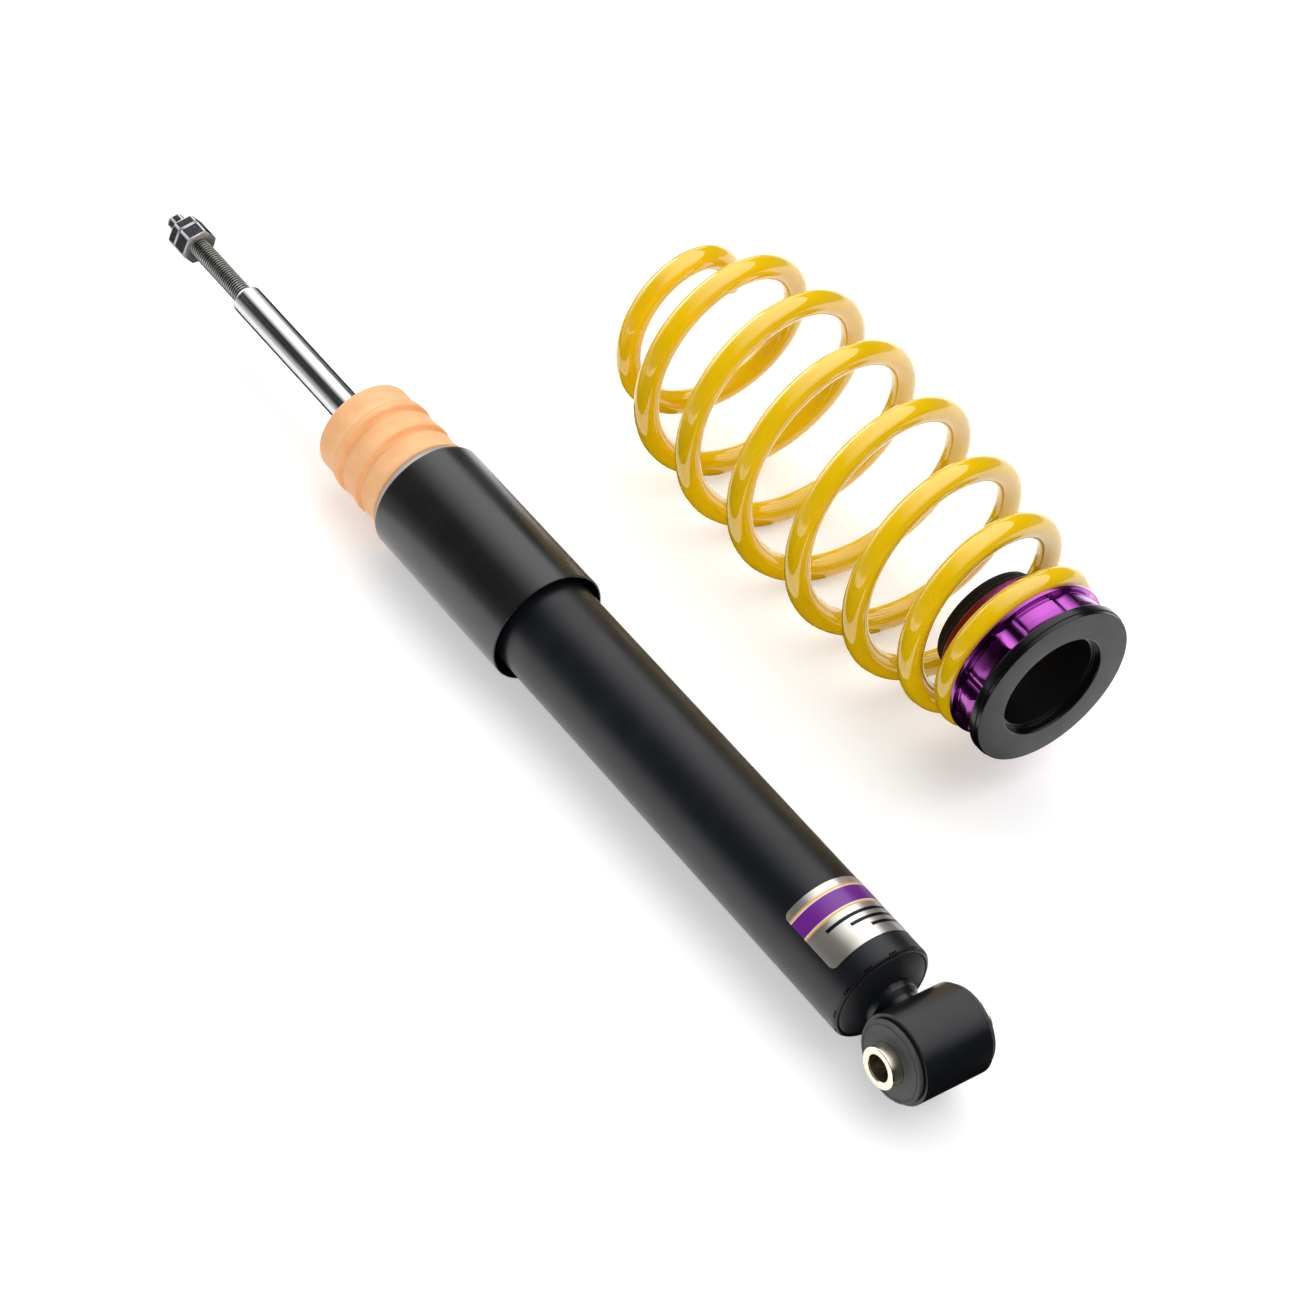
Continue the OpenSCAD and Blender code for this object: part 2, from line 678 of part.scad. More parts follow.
// Threaded ring that carries the spring on its rim, with spanner notches round its band
module adjuster_ring() {
    foot_r = ring_foot_d / 2;
    band_r = band_d / 2;
    rim_r = rim_d / 2;
    collar_r = collar_od / 2;
    collar_edge = 0.5;
    notch_bite = 0.2;
    notch_centre = sqrt(pow(band_r, 2) - pow(notch_w / 2, 2)) + sqrt(pow(notch_r, 2) - pow(notch_w / 2, 2));
    color("#7a1f96") on_set() difference() {
        rotate_extrude() polygon([
            [ring_bore_r, ring_from], [foot_r, ring_from], [band_r, ring_band], [band_r, ring_cove],
            [band_r - cove_in, ring_cove], [band_r - cove_in, rim_from], [rim_r - rim_edge, rim_from],
            [rim_r, rim_from + rim_edge], [rim_r, rim_top - rim_edge], [rim_r - rim_edge, rim_top],
            [collar_r, rim_top], [collar_r, rim_top + collar_h - collar_edge],
            [collar_r - collar_edge, rim_top + collar_h], [ring_bore_r, rim_top + collar_h]]);
        round_array(notches, 90 - notch_turn) translate([notch_centre, 0, ring_from - little])
            cylinder(r = notch_r, h = rim_from + notch_bite - ring_from + little);
    }
}

// Base: a flange with a bored seat face, and a threaded sleeve with a tapered nose
module adjuster_base() {
    seat_r = flange_d / 2;
    thread_r = thread_d / 2;
    bore_r = base_bore / 2;
    cb_r = counterbore_d / 2;
    nose_r = nose_d / 2;
    edge = 0.6;
    nose_groove = 2;
    nose_mid = sleeve_h + nose_len / 3;
    color("#1d1e20") on_set() rotate_extrude() polygon(concat(
        [[bore_r, counterbore_h], [cb_r, counterbore_h]],
        arc(cb_r + lip_r, lip_r, lip_r, 180, 270),
        [[seat_r, 0], [seat_r, step_t], [seat_r + step_out, step_t],
         [seat_r + step_out, flange_t - edge], [seat_r + step_out - edge, flange_t],
         [thread_r - thread_depth, flange_t]],
        zigzag(thread_r, thread_depth, thread_pitch, flange_t, sleeve_h),
        [[thread_r, sleeve_h], [nose_r + (thread_r - nose_r) * 2 / 3, nose_mid],
         [nose_r + (thread_r - nose_r) * 2 / 3 - thread_depth, nose_mid + nose_groove / 2],
         [nose_r + (thread_r - nose_r) / 3, nose_mid + nose_groove],
         [nose_r, sleeve_h + nose_len - edge], [nose_r - edge, sleeve_h + nose_len],
         [bore_r, sleeve_h + nose_len]]));
}

echo("least gap of the spring wire to itself, mm", wire_gap());

outer_tube();
base_cap();
eye_neck();
eye_ring();
eye_bush();
bush_sleeve();
label();
tube_cap();
rod_seal();
rod_guide();
guide_bush();
inner_cylinder();
base_valve();
base_valve_bolt();
piston_rod();
piston();
piston_band();
compression_shims();
rebound_shims();
piston_nut();
rebound_stop();
retaining_ring();
lower_nut();
upper_nut();
bump_stop();
dust_tube();
coil_spring();
adjuster_ring();
adjuster_base();
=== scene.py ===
"""Dresses a rear suspension kit: a twin-tube damper, and beside it a barrel spring on its height adjuster.

Every piece is turned, swept or carved about one of three axes: the damper's, the eye bolt's and the
spring set's. Outlines and heights are in millimetres, and heights grow away from the lower eye along
the damper, or away from the seat face up the spring set. Placed pieces are in metres.
"""
import json
import math
from contextlib import contextmanager

import bpy
from bpy.props import FloatProperty, FloatVectorProperty, IntProperty, PointerProperty
from mathutils import Matrix, Vector


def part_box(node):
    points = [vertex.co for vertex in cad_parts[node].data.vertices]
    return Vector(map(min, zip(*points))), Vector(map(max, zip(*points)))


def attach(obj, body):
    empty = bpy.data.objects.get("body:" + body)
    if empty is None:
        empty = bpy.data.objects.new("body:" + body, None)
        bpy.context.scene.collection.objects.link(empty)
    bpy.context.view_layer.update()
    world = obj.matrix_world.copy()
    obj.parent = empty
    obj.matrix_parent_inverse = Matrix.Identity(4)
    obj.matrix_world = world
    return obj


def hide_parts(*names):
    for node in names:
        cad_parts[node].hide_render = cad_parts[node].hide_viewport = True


bl_info = {
    "name": "Rear damper and barrel spring",
    "version": (1, 0, 0),
    "blender": (4, 5, 0),
    "location": "View3D > Sidebar > Damper kit",
    "description": "Builds the visible pieces of a damper, its spring and its height adjuster",
    "category": "Add Mesh",
}

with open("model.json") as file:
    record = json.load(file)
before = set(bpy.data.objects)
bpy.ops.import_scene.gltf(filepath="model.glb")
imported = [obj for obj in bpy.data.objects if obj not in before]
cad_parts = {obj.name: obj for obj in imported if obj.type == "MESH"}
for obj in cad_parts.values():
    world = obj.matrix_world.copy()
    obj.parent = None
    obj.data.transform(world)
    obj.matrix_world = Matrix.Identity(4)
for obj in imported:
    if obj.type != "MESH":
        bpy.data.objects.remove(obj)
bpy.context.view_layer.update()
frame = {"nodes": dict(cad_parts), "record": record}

MM = 0.001
FULL_TURN = 2 * math.pi
MERGED_UNDER = 1e-6
SMOOTH_UNDER = math.radians(32)
SOFTENED_OVER = math.radians(30)
ROUNDING_STEP = math.radians(15)
SUPPORT = 1.0  # mm from a wall's end to the extra ring that keeps its shading straight
ALONG_DAMPER = Matrix.Rotation(-math.pi / 2, 4, "Y")
ACROSS_EYE = Matrix.Rotation(math.pi / 2, 4, "X")
mounts = {mount["name"]: mount for mount in frame["record"]["mounts"]}


# ---- places taken from the frame, in mm

def damper_span(node):
    """Lowest and highest distance of a node from the eye, along the damper."""
    low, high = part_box(node)
    return -high[0] / MM, -low[0] / MM


def node_radius(node):
    """Radius of a round node that lies on the damper's axis or the eye's."""
    low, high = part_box(node)
    return (high[2] - low[2]) / 2 / MM


def seat_frame():
    """Matrix that puts +Z up the spring set's axis, from the centre of the seat face."""
    outward = Vector(mounts["spring_seat_face"]["axis"]).normalized()
    on_face = Vector(mounts["spring_seat_face"]["pos_m"])
    on_axis = Vector(mounts["spring_seat_bore"]["pos_m"])
    centre = on_axis + outward * (on_face - on_axis).dot(outward)
    yaw = math.atan2(outward.y, outward.x)
    return Matrix.Translation(centre) @ Matrix.Rotation(yaw, 4, "Z") @ Matrix.Rotation(-math.pi / 2, 4, "Y")


UP_SET = seat_frame()

TUBE_FROM, TUBE_TO = damper_span("outer_tube")
TUBE_R = node_radius("outer_tube")
EYE_R = node_radius("eye_ring")
EYE_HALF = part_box("eye_ring")[1][1] / MM
SLEEVE_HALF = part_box("bush_sleeve")[1][1] / MM
SLEEVE_R = node_radius("bush_sleeve")
BOLT_R = mounts["lower_eye"]["dims"]["r_mm"]
LIP_R = node_radius("eye_bush")
BUSH_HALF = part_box("eye_bush")[1][1] / MM
NECK_R = node_radius("eye_neck")
BASE_FACE, BASE_TO = damper_span("base_cap")
LABEL_FROM, LABEL_TO = damper_span("label")
LABEL_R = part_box("label")[1][2] / MM
BUMP_FROM, BUMP_TO = damper_span("bump_stop")
BUMP_R = node_radius("bump_stop")
DUST_FROM, DUST_TO = damper_span("dust_tube")
DUST_R = node_radius("dust_tube")
ROD_FROM, ROD_TO = damper_span("piston_rod")
ROD_R = node_radius("piston_rod")
CLIP_FROM, CLIP_TO = damper_span("retaining_ring")
PISTON_SEAT = damper_span("compression_shims")[1]
SHOULDER = -mounts["top_stud"]["pos_m"][0] / MM
STUD_R = mounts["top_stud"]["dims"]["r_mm"]
NUT_FROM, NUT_TO = damper_span("lower_nut")
JAM_FROM, JAM_TO = damper_span("upper_nut")
SEAT_BORE_R = mounts["spring_seat_bore"]["dims"]["r_mm"]
FLOOR = min(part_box(node)[0][2] for node in frame["nodes"])


# ---- sizes and colours a user would change

class KitSizes(bpy.types.PropertyGroup):
    edge_radius: FloatProperty(name="Tube edge", description="Rounding of the tube's lower edge",
                               default=0.00175, unit="LENGTH")
    stud_pitch: FloatProperty(name="Stud pitch", description="Pitch of the upper stud's thread",
                              default=0.0015, unit="LENGTH")
    nut_flats: FloatProperty(name="Nut flats", description="Width across the flats of the rod's nuts",
                             default=0.017, unit="LENGTH")
    tip_flats: FloatProperty(name="Tip flats", description="Width across the flats of the rod's tip",
                             default=0.008, unit="LENGTH")
    nut_corner: FloatProperty(name="Nut corner",
                              description="Direction of a nut's corner, from +Y towards +Z",
                              default=math.radians(44), subtype="ANGLE")
    wire: FloatProperty(name="Wire", description="Diameter of the spring wire",
                        default=0.0121, unit="LENGTH")
    wire_turns: FloatProperty(name="Turns", description="Number of turns of the spring wire", default=7.62)
    wire_start: FloatProperty(name="Wire end",
                              description="Direction of the wire's lower end, from +Y towards +Z",
                              default=math.radians(231.7), subtype="ANGLE")
    notches: IntProperty(name="Notches", description="Number of spanner notches in the adjuster ring",
                         default=8)
    sleeve_pitch: FloatProperty(name="Sleeve pitch", description="Pitch of the height adjuster's thread",
                                default=0.002, unit="LENGTH")


class KitColours(bpy.types.PropertyGroup):
    tube: FloatVectorProperty(name="Tube", description="Powder coat of the tube and the eye",
                              default=(0.0044, 0.0053, 0.0075), subtype="COLOR")
    dust: FloatVectorProperty(name="Dust tube", description="Plastic of the dust tube",
                              default=(0.008, 0.008, 0.008), subtype="COLOR")
    foam: FloatVectorProperty(name="Bump stop", description="Foam of the bump stop",
                              default=(0.95, 0.525, 0.25), subtype="COLOR")
    spring: FloatVectorProperty(name="Spring", description="Powder coat of the spring",
                                default=(0.90, 0.565, 0.003), subtype="COLOR")
    anodised: FloatVectorProperty(name="Adjuster ring", description="Anodised finish of the adjuster ring",
                                  default=(0.38, 0.05, 0.40), subtype="COLOR")
    base: FloatVectorProperty(name="Adjuster base", description="Black finish of the adjuster's base",
                              default=(0.0035, 0.0035, 0.004), subtype="COLOR")
    print_band: FloatVectorProperty(name="Label band", description="Broad band printed on the label",
                                    default=(0.16, 0.02, 0.26), subtype="COLOR")
    print_rule: FloatVectorProperty(name="Label rule", description="Thin rules printed on the label",
                                    default=(0.85, 0.40, 0.06), subtype="COLOR")


# ---- modelling helpers

def outline(*corners):
    """Closed outline through corners (radius, height) or (radius, height, rounding), in mm."""
    points = []
    for index, corner in enumerate(corners):
        here = Vector(corner[:2])
        if len(corner) == 2:
            points.append(here)
            continue
        before = (Vector(corners[index - 1][:2]) - here).normalized()
        after = (Vector(corners[(index + 1) % len(corners)][:2]) - here).normalized()
        half = before.angle(after) / 2
        centre = here + (before + after).normalized() * corner[2] / math.sin(half)
        start = here + before * corner[2] / math.tan(half) - centre
        end = here + after * corner[2] / math.tan(half) - centre
        first = math.atan2(start.y, start.x)
        sweep = (math.atan2(end.y, end.x) - first + math.pi) % FULL_TURN - math.pi
        steps = max(2, round(abs(sweep) / ROUNDING_STEP))
        for step in range(steps + 1):
            angle = first + sweep * step / steps
            points.append(centre + corner[2] * Vector((math.cos(angle), math.sin(angle))))
    return points


def rungs(radius, start, end, count):
    """Points up a straight wall, close enough together to carry a thread."""
    return [(radius, start + (end - start) * step / count) for step in range(1, count)]


def select_only(piece):
    """Makes one piece the active and only selected object."""
    bpy.ops.object.select_all(action="DESELECT")
    piece.select_set(True)
    bpy.context.view_layer.objects.active = piece


def primitive(add, **settings):
    """A new primitive, with nothing else selected."""
    bpy.ops.object.select_all(action="DESELECT")
    add(**settings)
    return bpy.context.object


def cylinder(sides, radius, depth, **place):
    """A new cylinder or prism, with its radius and depth in mm."""
    return primitive(bpy.ops.mesh.primitive_cylinder_add, vertices=sides, radius=radius * MM,
                     depth=depth * MM, **place)


@contextmanager
def edit_mode(piece):
    """Edit mode on one piece, with all of it selected."""
    select_only(piece)
    bpy.ops.object.mode_set(mode="EDIT")
    bpy.ops.mesh.select_all(action="SELECT")
    yield
    bpy.ops.object.mode_set(mode="OBJECT")


def turned(name, points, sides=96):
    """A piece turned on a lathe: a closed outline of (radius, height) points in mm, spun about Z."""
    piece = primitive(bpy.ops.mesh.primitive_circle_add, vertices=len(points))
    piece.name = name
    for vertex, (radius, height) in zip(piece.data.vertices, points):
        vertex.co = (radius * MM, 0, height * MM)
    with edit_mode(piece):
        bpy.ops.mesh.spin(steps=sides, angle=FULL_TURN, center=(0, 0, 0), axis=(0, 0, 1))
        bpy.ops.mesh.select_all(action="SELECT")
        bpy.ops.mesh.remove_doubles(threshold=MERGED_UNDER)
        bpy.ops.mesh.normals_make_consistent(inside=False)
    return piece


def cut_thread(piece, crest, depth, pitch, start, end):
    """Cuts a right-hand thread into a wall that stands at the crest's radius, in mm, fading at its ends."""
    on_wall, reach, slope = 0.02, 1.15, 1.3
    for vertex in piece.data.vertices:
        radius = math.hypot(vertex.co.x, vertex.co.y) / MM
        height = vertex.co.z / MM
        if abs(radius - crest) > on_wall or not start < height < end:
            continue
        turn = height / pitch - math.atan2(vertex.co.y, vertex.co.x) / FULL_TURN
        groove = min(1, max(0, reach - slope * abs(turn % 1 - 0.5) * 2))
        fade = min(1, (height - start) / pitch, (end - height) / pitch)
        cut = 1 - depth * groove * fade / crest
        vertex.co.x *= cut
        vertex.co.y *= cut


def thread_ridge(root, crest, pitch, start, turns):
    """A closed ridge wound round Z as a right-hand thread, in mm."""
    ridge = primitive(bpy.ops.mesh.primitive_circle_add, vertices=4)
    inside, sides = root - 0.2, 60
    section = ((inside, 0), (inside, 0.94), (crest, 0.56), (crest, 0.38))
    for vertex, (radius, rise) in zip(ridge.data.vertices, section):
        vertex.co = (radius * MM, 0, (start + pitch * rise) * MM)
    apply_modifier(ridge, "SCREW", axis="Z", angle=FULL_TURN, screw_offset=pitch * MM, iterations=turns,
                   steps=sides, render_steps=sides)
    with edit_mode(ridge):
        bpy.ops.mesh.select_mode(type="EDGE")
        bpy.ops.mesh.select_all(action="DESELECT")
        bpy.ops.mesh.select_non_manifold()
        bpy.ops.mesh.fill_holes(sides=0)
        bpy.ops.mesh.select_all(action="SELECT")
        bpy.ops.mesh.normals_make_consistent(inside=False)
    return ridge


def apply_modifier(piece, kind, **settings):
    """Adds a modifier with its settings and applies it."""
    select_only(piece)
    modifier = piece.modifiers.new(kind.lower(), kind)
    for key, value in settings.items():
        setattr(modifier, key, value)
    bpy.ops.object.modifier_apply(modifier=modifier.name)


def carve(piece, tool, operation="DIFFERENCE"):
    """Cuts a piece by a tool, or to their common shape, and removes the tool."""
    apply_modifier(piece, "BOOLEAN", object=tool, operation=operation, solver="EXACT")
    bpy.data.objects.remove(tool)


def round_array(piece, count):
    """Repeats a piece evenly round Z as one mesh."""
    with edit_mode(piece):
        bpy.ops.mesh.spin(steps=count, dupli=True, angle=FULL_TURN, use_auto_merge=True,
                          center=(0, 0, 0), axis=(0, 0, 1))
        bpy.ops.mesh.select_all(action="SELECT")
        bpy.ops.mesh.remove_doubles(threshold=MERGED_UNDER)


def soften_edges(piece, width, segments=2):
    """Rounds the sharp edges by a width in mm, so that they catch the light."""
    apply_modifier(piece, "BEVEL", width=width * MM, segments=segments, limit_method="ANGLE",
                   angle_limit=SOFTENED_OVER)


def settle(piece, place, body, slot, coat, *nodes):
    """Puts a piece at its place, gives it its finish, hangs it on its body and hides the frame's nodes that it
    replaces.
    """
    select_only(piece)
    piece.matrix_world = place
    bpy.ops.object.transform_apply(location=True, rotation=True, scale=True)
    bpy.ops.object.shade_smooth_by_angle(angle=SMOOTH_UNDER)
    piece.data.materials.clear()
    piece.data.materials.append(coat)
    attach(piece, body)
    if nodes:
        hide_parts(*nodes)


def new_object(name, data):
    """An object of its own for curve, lamp or camera data."""
    made = bpy.data.objects.new(name, data)
    bpy.context.collection.objects.link(made)
    return made


# ---- finishes

def finish(name, colour, roughness, metallic=0.0, **sockets):
    """A new material with the plain values of its shader."""
    made = bpy.data.materials.new(name)
    made.use_nodes = True
    shader = shader_of(made)
    shader.inputs["Base Color"].default_value = (*colour, 1)
    shader.inputs["Roughness"].default_value = roughness
    shader.inputs["Metallic"].default_value = metallic
    for key, value in sockets.items():
        shader.inputs[key.replace("_", " ")].default_value = value
    return made


def shader_of(made):
    """The Principled shader of a material."""
    return made.node_tree.nodes["Principled BSDF"]


def add_node(made, kind, sockets=(), **settings):
    """Adds a node to a material, with its settings and the values of its named sockets."""
    added = made.node_tree.nodes.new(kind)
    for key, value in settings.items():
        setattr(added, key, value)
    for key, value in dict(sockets).items():
        added.inputs[key].default_value = value
    return added


def link(made, source, target):
    made.node_tree.links.new(source, target)


def feed(made, socket, source):
    """Links a value to one of the shader's own sockets."""
    link(made, source, shader_of(made).inputs[socket])


def put(made, socket, value):
    """Gives a socket a link or a plain value."""
    if isinstance(value, bpy.types.NodeSocket):
        link(made, value, socket)
    else:
        socket.default_value = value


def math_node(made, operation, first, second=0.0):
    """A number from one or two numbers or links."""
    added = add_node(made, "ShaderNodeMath", operation=operation)
    put(made, added.inputs[0], first)
    put(made, added.inputs[1], second)
    return added.outputs[0]


def coordinate(made, axis, node="ShaderNodeTexCoord", output="Object"):
    """One coordinate of the shaded point, in the object's own space or in another node's."""
    split = add_node(made, "ShaderNodeSeparateXYZ")
    link(made, add_node(made, node).outputs[output], split.inputs["Vector"])
    return split.outputs[axis]


# noise drawn out into tool marks that run round the X axis, or round the Y axis
ROUND_X = (1, 0.05, 0.05)
ROUND_Y = (0.05, 1, 0.05)


def noise(made, size, detail=2.0, stretch=(1, 1, 1)):
    """Noise in the object's own space, with features of about one size in metres."""
    place = add_node(made, "ShaderNodeTexCoord")
    scaled = add_node(made, "ShaderNodeMapping", {"Scale": stretch})
    cloud = add_node(made, "ShaderNodeTexNoise", {"Scale": 1 / size, "Detail": detail})
    link(made, place.outputs["Object"], scaled.inputs["Vector"])
    link(made, scaled.outputs["Vector"], cloud.inputs["Vector"])
    return cloud.outputs["Fac"]


def from_axis(made):
    """Distance from the damper's axis, in metres."""
    place = add_node(made, "ShaderNodeTexCoord")
    flattened = add_node(made, "ShaderNodeMapping", {"Scale": (0, 1, 1)})
    length = add_node(made, "ShaderNodeVectorMath", operation="LENGTH")
    link(made, place.outputs["Object"], flattened.inputs["Vector"])
    link(made, flattened.outputs["Vector"], length.inputs[0])
    return length.outputs["Value"]


def ramp(made, value, low, high, start=0.3, end=0.7):
    """Maps a value to a range between two numbers."""
    mapped = add_node(made, "ShaderNodeMapRange",
                      {"From Min": start, "From Max": end, "To Min": low, "To Max": high})
    link(made, value, mapped.inputs["Value"])
    return mapped.outputs["Result"]


def blend(made, factor, first, second):
    """Mixes two colours, or a linked colour and another."""
    mixed = add_node(made, "ShaderNodeMix", data_type="RGBA")
    link(made, factor, mixed.inputs["Factor"])
    for socket, colour in zip((mixed.inputs[6], mixed.inputs[7]), (first, second)):
        put(made, socket, colour if isinstance(colour, bpy.types.NodeSocket) else (*colour, 1))
    return mixed.outputs[2]


def relief(made, size, depth, strength, **shape):
    """Adds noise as a bump of a real size and depth in metres, on top of any bump that is there."""
    shader = shader_of(made)
    bump = add_node(made, "ShaderNodeBump", {"Strength": strength, "Distance": depth})
    link(made, noise(made, size, **shape), bump.inputs["Height"])
    if shader.inputs["Normal"].is_linked:
        link(made, shader.inputs["Normal"].links[0].from_socket, bump.inputs["Normal"])
    link(made, bump.outputs["Normal"], shader.inputs["Normal"])


def drift(made, share, size, rough_low, rough_high):
    """Lets the colour and the roughness drift over the surface, as a real finish does."""
    colour = shader_of(made).inputs["Base Color"].default_value[:3]
    darker = tuple(channel * (1 - share) for channel in colour)
    feed(made, "Base Color", blend(made, ramp(made, noise(made, size), 0, 1), darker, colour))
    feed(made, "Roughness", ramp(made, noise(made, size * 0.6), rough_low, rough_high))


def powder_coat(name, colour, rough_low, rough_high, peel=0.00003, **sockets):
    """Sprayed and baked coat with a faint orange peel."""
    made = finish(name, colour, rough_low, **sockets)
    drift(made, 0.12, 0.03, rough_low, rough_high)
    relief(made, 0.0012, peel, 0.5)
    return made


def turned_metal(name, colour, roughness, stretch, metallic=1.0):
    """Metal with fine tool marks round its axis."""
    made = finish(name, colour, roughness, metallic)
    drift(made, 0.08, 0.012, roughness * 0.85, roughness * 1.2)
    relief(made, 0.0006, 0.000002, 0.4, stretch=stretch)
    return made


def foam_finish(colour):
    """Moulded foam: a soft skin with fine pores."""
    made = finish("bump_stop_foam", colour, 0.55, Subsurface_Weight=0.15,
                  Subsurface_Radius=(0.006, 0.003, 0.0015), Subsurface_Scale=0.6)
    darker = tuple(channel * share for channel, share in zip(colour, (0.95, 0.88, 0.8)))
    feed(made, "Base Color", blend(made, ramp(made, noise(made, 0.008), 0, 1), darker, colour))
    feed(made, "Roughness", ramp(made, noise(made, 0.004), 0.5, 0.65))
    relief(made, 0.0008, 0.00006, 0.6, detail=4.0)
    return made


def label_finish(colours):
    """Brushed foil with a broad band, thin rules and plain bars; it reads the label's own UV map."""
    made = finish("label_foil", (0.74, 0.71, 0.64), 0.28, 0.85)
    across, along = (coordinate(made, axis, "ShaderNodeUVMap", "UV") for axis in "XY")
    lower_rule, band, upper_rule = (0.54, 0.565), (0.585, 0.845), (0.865, 0.89)
    bar_low, bar_high, bar_step, bar_start, bar_ends = 0.40, 0.45, 0.12, 0.12, (0.82, 0.62, 0.46)

    def between(value, low, high):
        """One where the value lies between two numbers."""
        return math_node(made, "MULTIPLY", math_node(made, "GREATER_THAN", value, low),
                         math_node(made, "LESS_THAN", value, high))

    shade = blend(made, ramp(made, noise(made, 0.012), 0, 1), (0.62, 0.59, 0.52), (0.80, 0.78, 0.72))
    for stripe, ink in ((lower_rule, colours.print_rule), (upper_rule, colours.print_rule),
                        (band, colours.print_band)):
        shade = blend(made, between(along, *stripe), shade, ink)
    for row, bar_end in enumerate(bar_ends):
        bar = math_node(made, "MULTIPLY", between(along, bar_low - bar_step * row, bar_high - bar_step * row),
                        between(across, bar_start, bar_end))
        shade = blend(made, bar, shade, (0.015, 0.015, 0.02))
    feed(made, "Base Color", shade)
    feed(made, "Metallic", ramp(made, between(along, lower_rule[0], upper_rule[1]), 0.85, 0.15, 0, 1))
    relief(made, 0.0006, 0.000005, 0.4, stretch=ROUND_X)
    return made


def inner_finishes():
    """Finishes of the pieces inside the tube, by their material slot."""
    made = {
        "inner_steel": turned_metal("inner_steel", (0.5, 0.51, 0.53), 0.3, ROUND_X),
        "guide_alloy": turned_metal("guide_alloy", (0.45, 0.46, 0.48), 0.4, ROUND_X),
        "valve_brass": turned_metal("valve_brass", (0.62, 0.48, 0.2), 0.3, ROUND_X),
        "seal_rubber": finish("seal_rubber", (0.02, 0.02, 0.02), 0.7),
        "band_plastic": finish("band_plastic", (0.03, 0.09, 0.09), 0.5),
    }
    for name in ("seal_rubber", "band_plastic"):
        relief(made[name], 0.0008, 0.00002, 0.6)
    return made


# ---- pieces

class KIT_OT_tube(bpy.types.Operator):
    """Builds the damper tube with its rounded edge, its domed base and its foil label"""
    bl_idname = "kit.build_tube"
    bl_label = "Tube and label"

    def execute(self, context):
        edge = context.scene.kit_sizes.edge_radius / MM
        colours = context.scene.kit_colours
        coat = powder_coat("tube_coat", colours.tube, 0.33, 0.41, Specular_IOR_Level=0.4)
        bore_r = TUBE_R - 2
        tube = turned("damper_tube", outline(
            (bore_r, TUBE_FROM, 0.1), (TUBE_R, TUBE_FROM, edge), (TUBE_R, TUBE_FROM + edge + 1.5),
            (TUBE_R, TUBE_TO - SUPPORT), (TUBE_R, TUBE_TO, 0.5), (bore_r, TUBE_TO, 0.4)), sides=160)
        carve(tube, self.crimps())
        settle(tube, ALONG_DAMPER, "damper_tube", "tube_paint", coat, "outer_tube")

        dome = turned("domed_base", outline(
            (0, BASE_FACE), (NECK_R - 0.6, BASE_FACE), (bore_r, TUBE_FROM - 0.1, 2),
            (bore_r, BASE_TO, 0.5), (0, BASE_TO)), sides=128)
        # Painted shade: the domed base gets a darker, rougher copy of the tube's coat.
        dark = powder_coat("base_coat_painted_shade", tuple(channel * 0.9 for channel in colours.tube), 0.5, 0.6)
        settle(dome, ALONG_DAMPER, "damper_tube", "base_paint", dark, "base_cap")

        settle(self.label(), ALONG_DAMPER, "damper_tube", "label_foil", label_finish(colours), "label")
        return {"FINISHED"}

    def crimps(self):
        """Short slots in groups of three round the tube's lower edge, as one cutting tool."""
        slot_r, slot_length, above_edge, groups = 0.5, 2.6, 0.9, 12
        place = Matrix.Translation(Vector((TUBE_R + 0.05, 0, TUBE_FROM + above_edge)) * MM)
        lean = Matrix.Rotation(math.radians(-38), 4, "Y")
        slots = []
        for turn in (-3.2, 0.0, 3.2):
            slot = cylinder(12, slot_r, slot_length)
            slot.matrix_world = Matrix.Rotation(math.radians(turn), 4, "Z") @ place @ lean
            slots.append(slot)
        for slot in slots:
            slot.select_set(True)
        bpy.ops.object.transform_apply()
        bpy.ops.object.join()
        round_array(bpy.context.object, groups)
        return bpy.context.object

    def label(self):
        """A sheet with rounded corners, wrapped on the tube."""
        corner, foil, strips = 3.0, 0.2, 48
        width = LABEL_R * math.radians(112)
        height = LABEL_TO - LABEL_FROM
        sheet = primitive(bpy.ops.mesh.primitive_plane_add, size=1)
        sheet.name = "foil_label"
        sheet.scale = (width, height, 1)
        bpy.ops.object.transform_apply(location=False, rotation=False, scale=True)
        with edit_mode(sheet):
            bpy.ops.mesh.bevel(offset=corner, segments=6, affect="VERTICES")
            for strip in range(1, strips):
                bpy.ops.mesh.select_all(action="SELECT")
                bpy.ops.mesh.bisect(plane_co=(width * (strip / strips - 0.5), 0, 0), plane_no=(1, 0, 0))
        prints = sheet.data.uv_layers.active.data
        for loop in sheet.data.loops:
            place = sheet.data.vertices[loop.vertex_index].co
            prints[loop.index].uv = (place.x / width + 0.5, place.y / height + 0.5)
        apply_modifier(sheet, "SOLIDIFY", thickness=foil, offset=-1)
        for vertex in sheet.data.vertices:
            angle = vertex.co.x / LABEL_R
            radius = LABEL_R + min(0, vertex.co.z)
            along = LABEL_FROM + height / 2 + vertex.co.y
            vertex.co = Vector((radius * math.cos(angle), -radius * math.sin(angle), along)) * MM
        with edit_mode(sheet):
            bpy.ops.mesh.normals_make_consistent(inside=False)
        return sheet


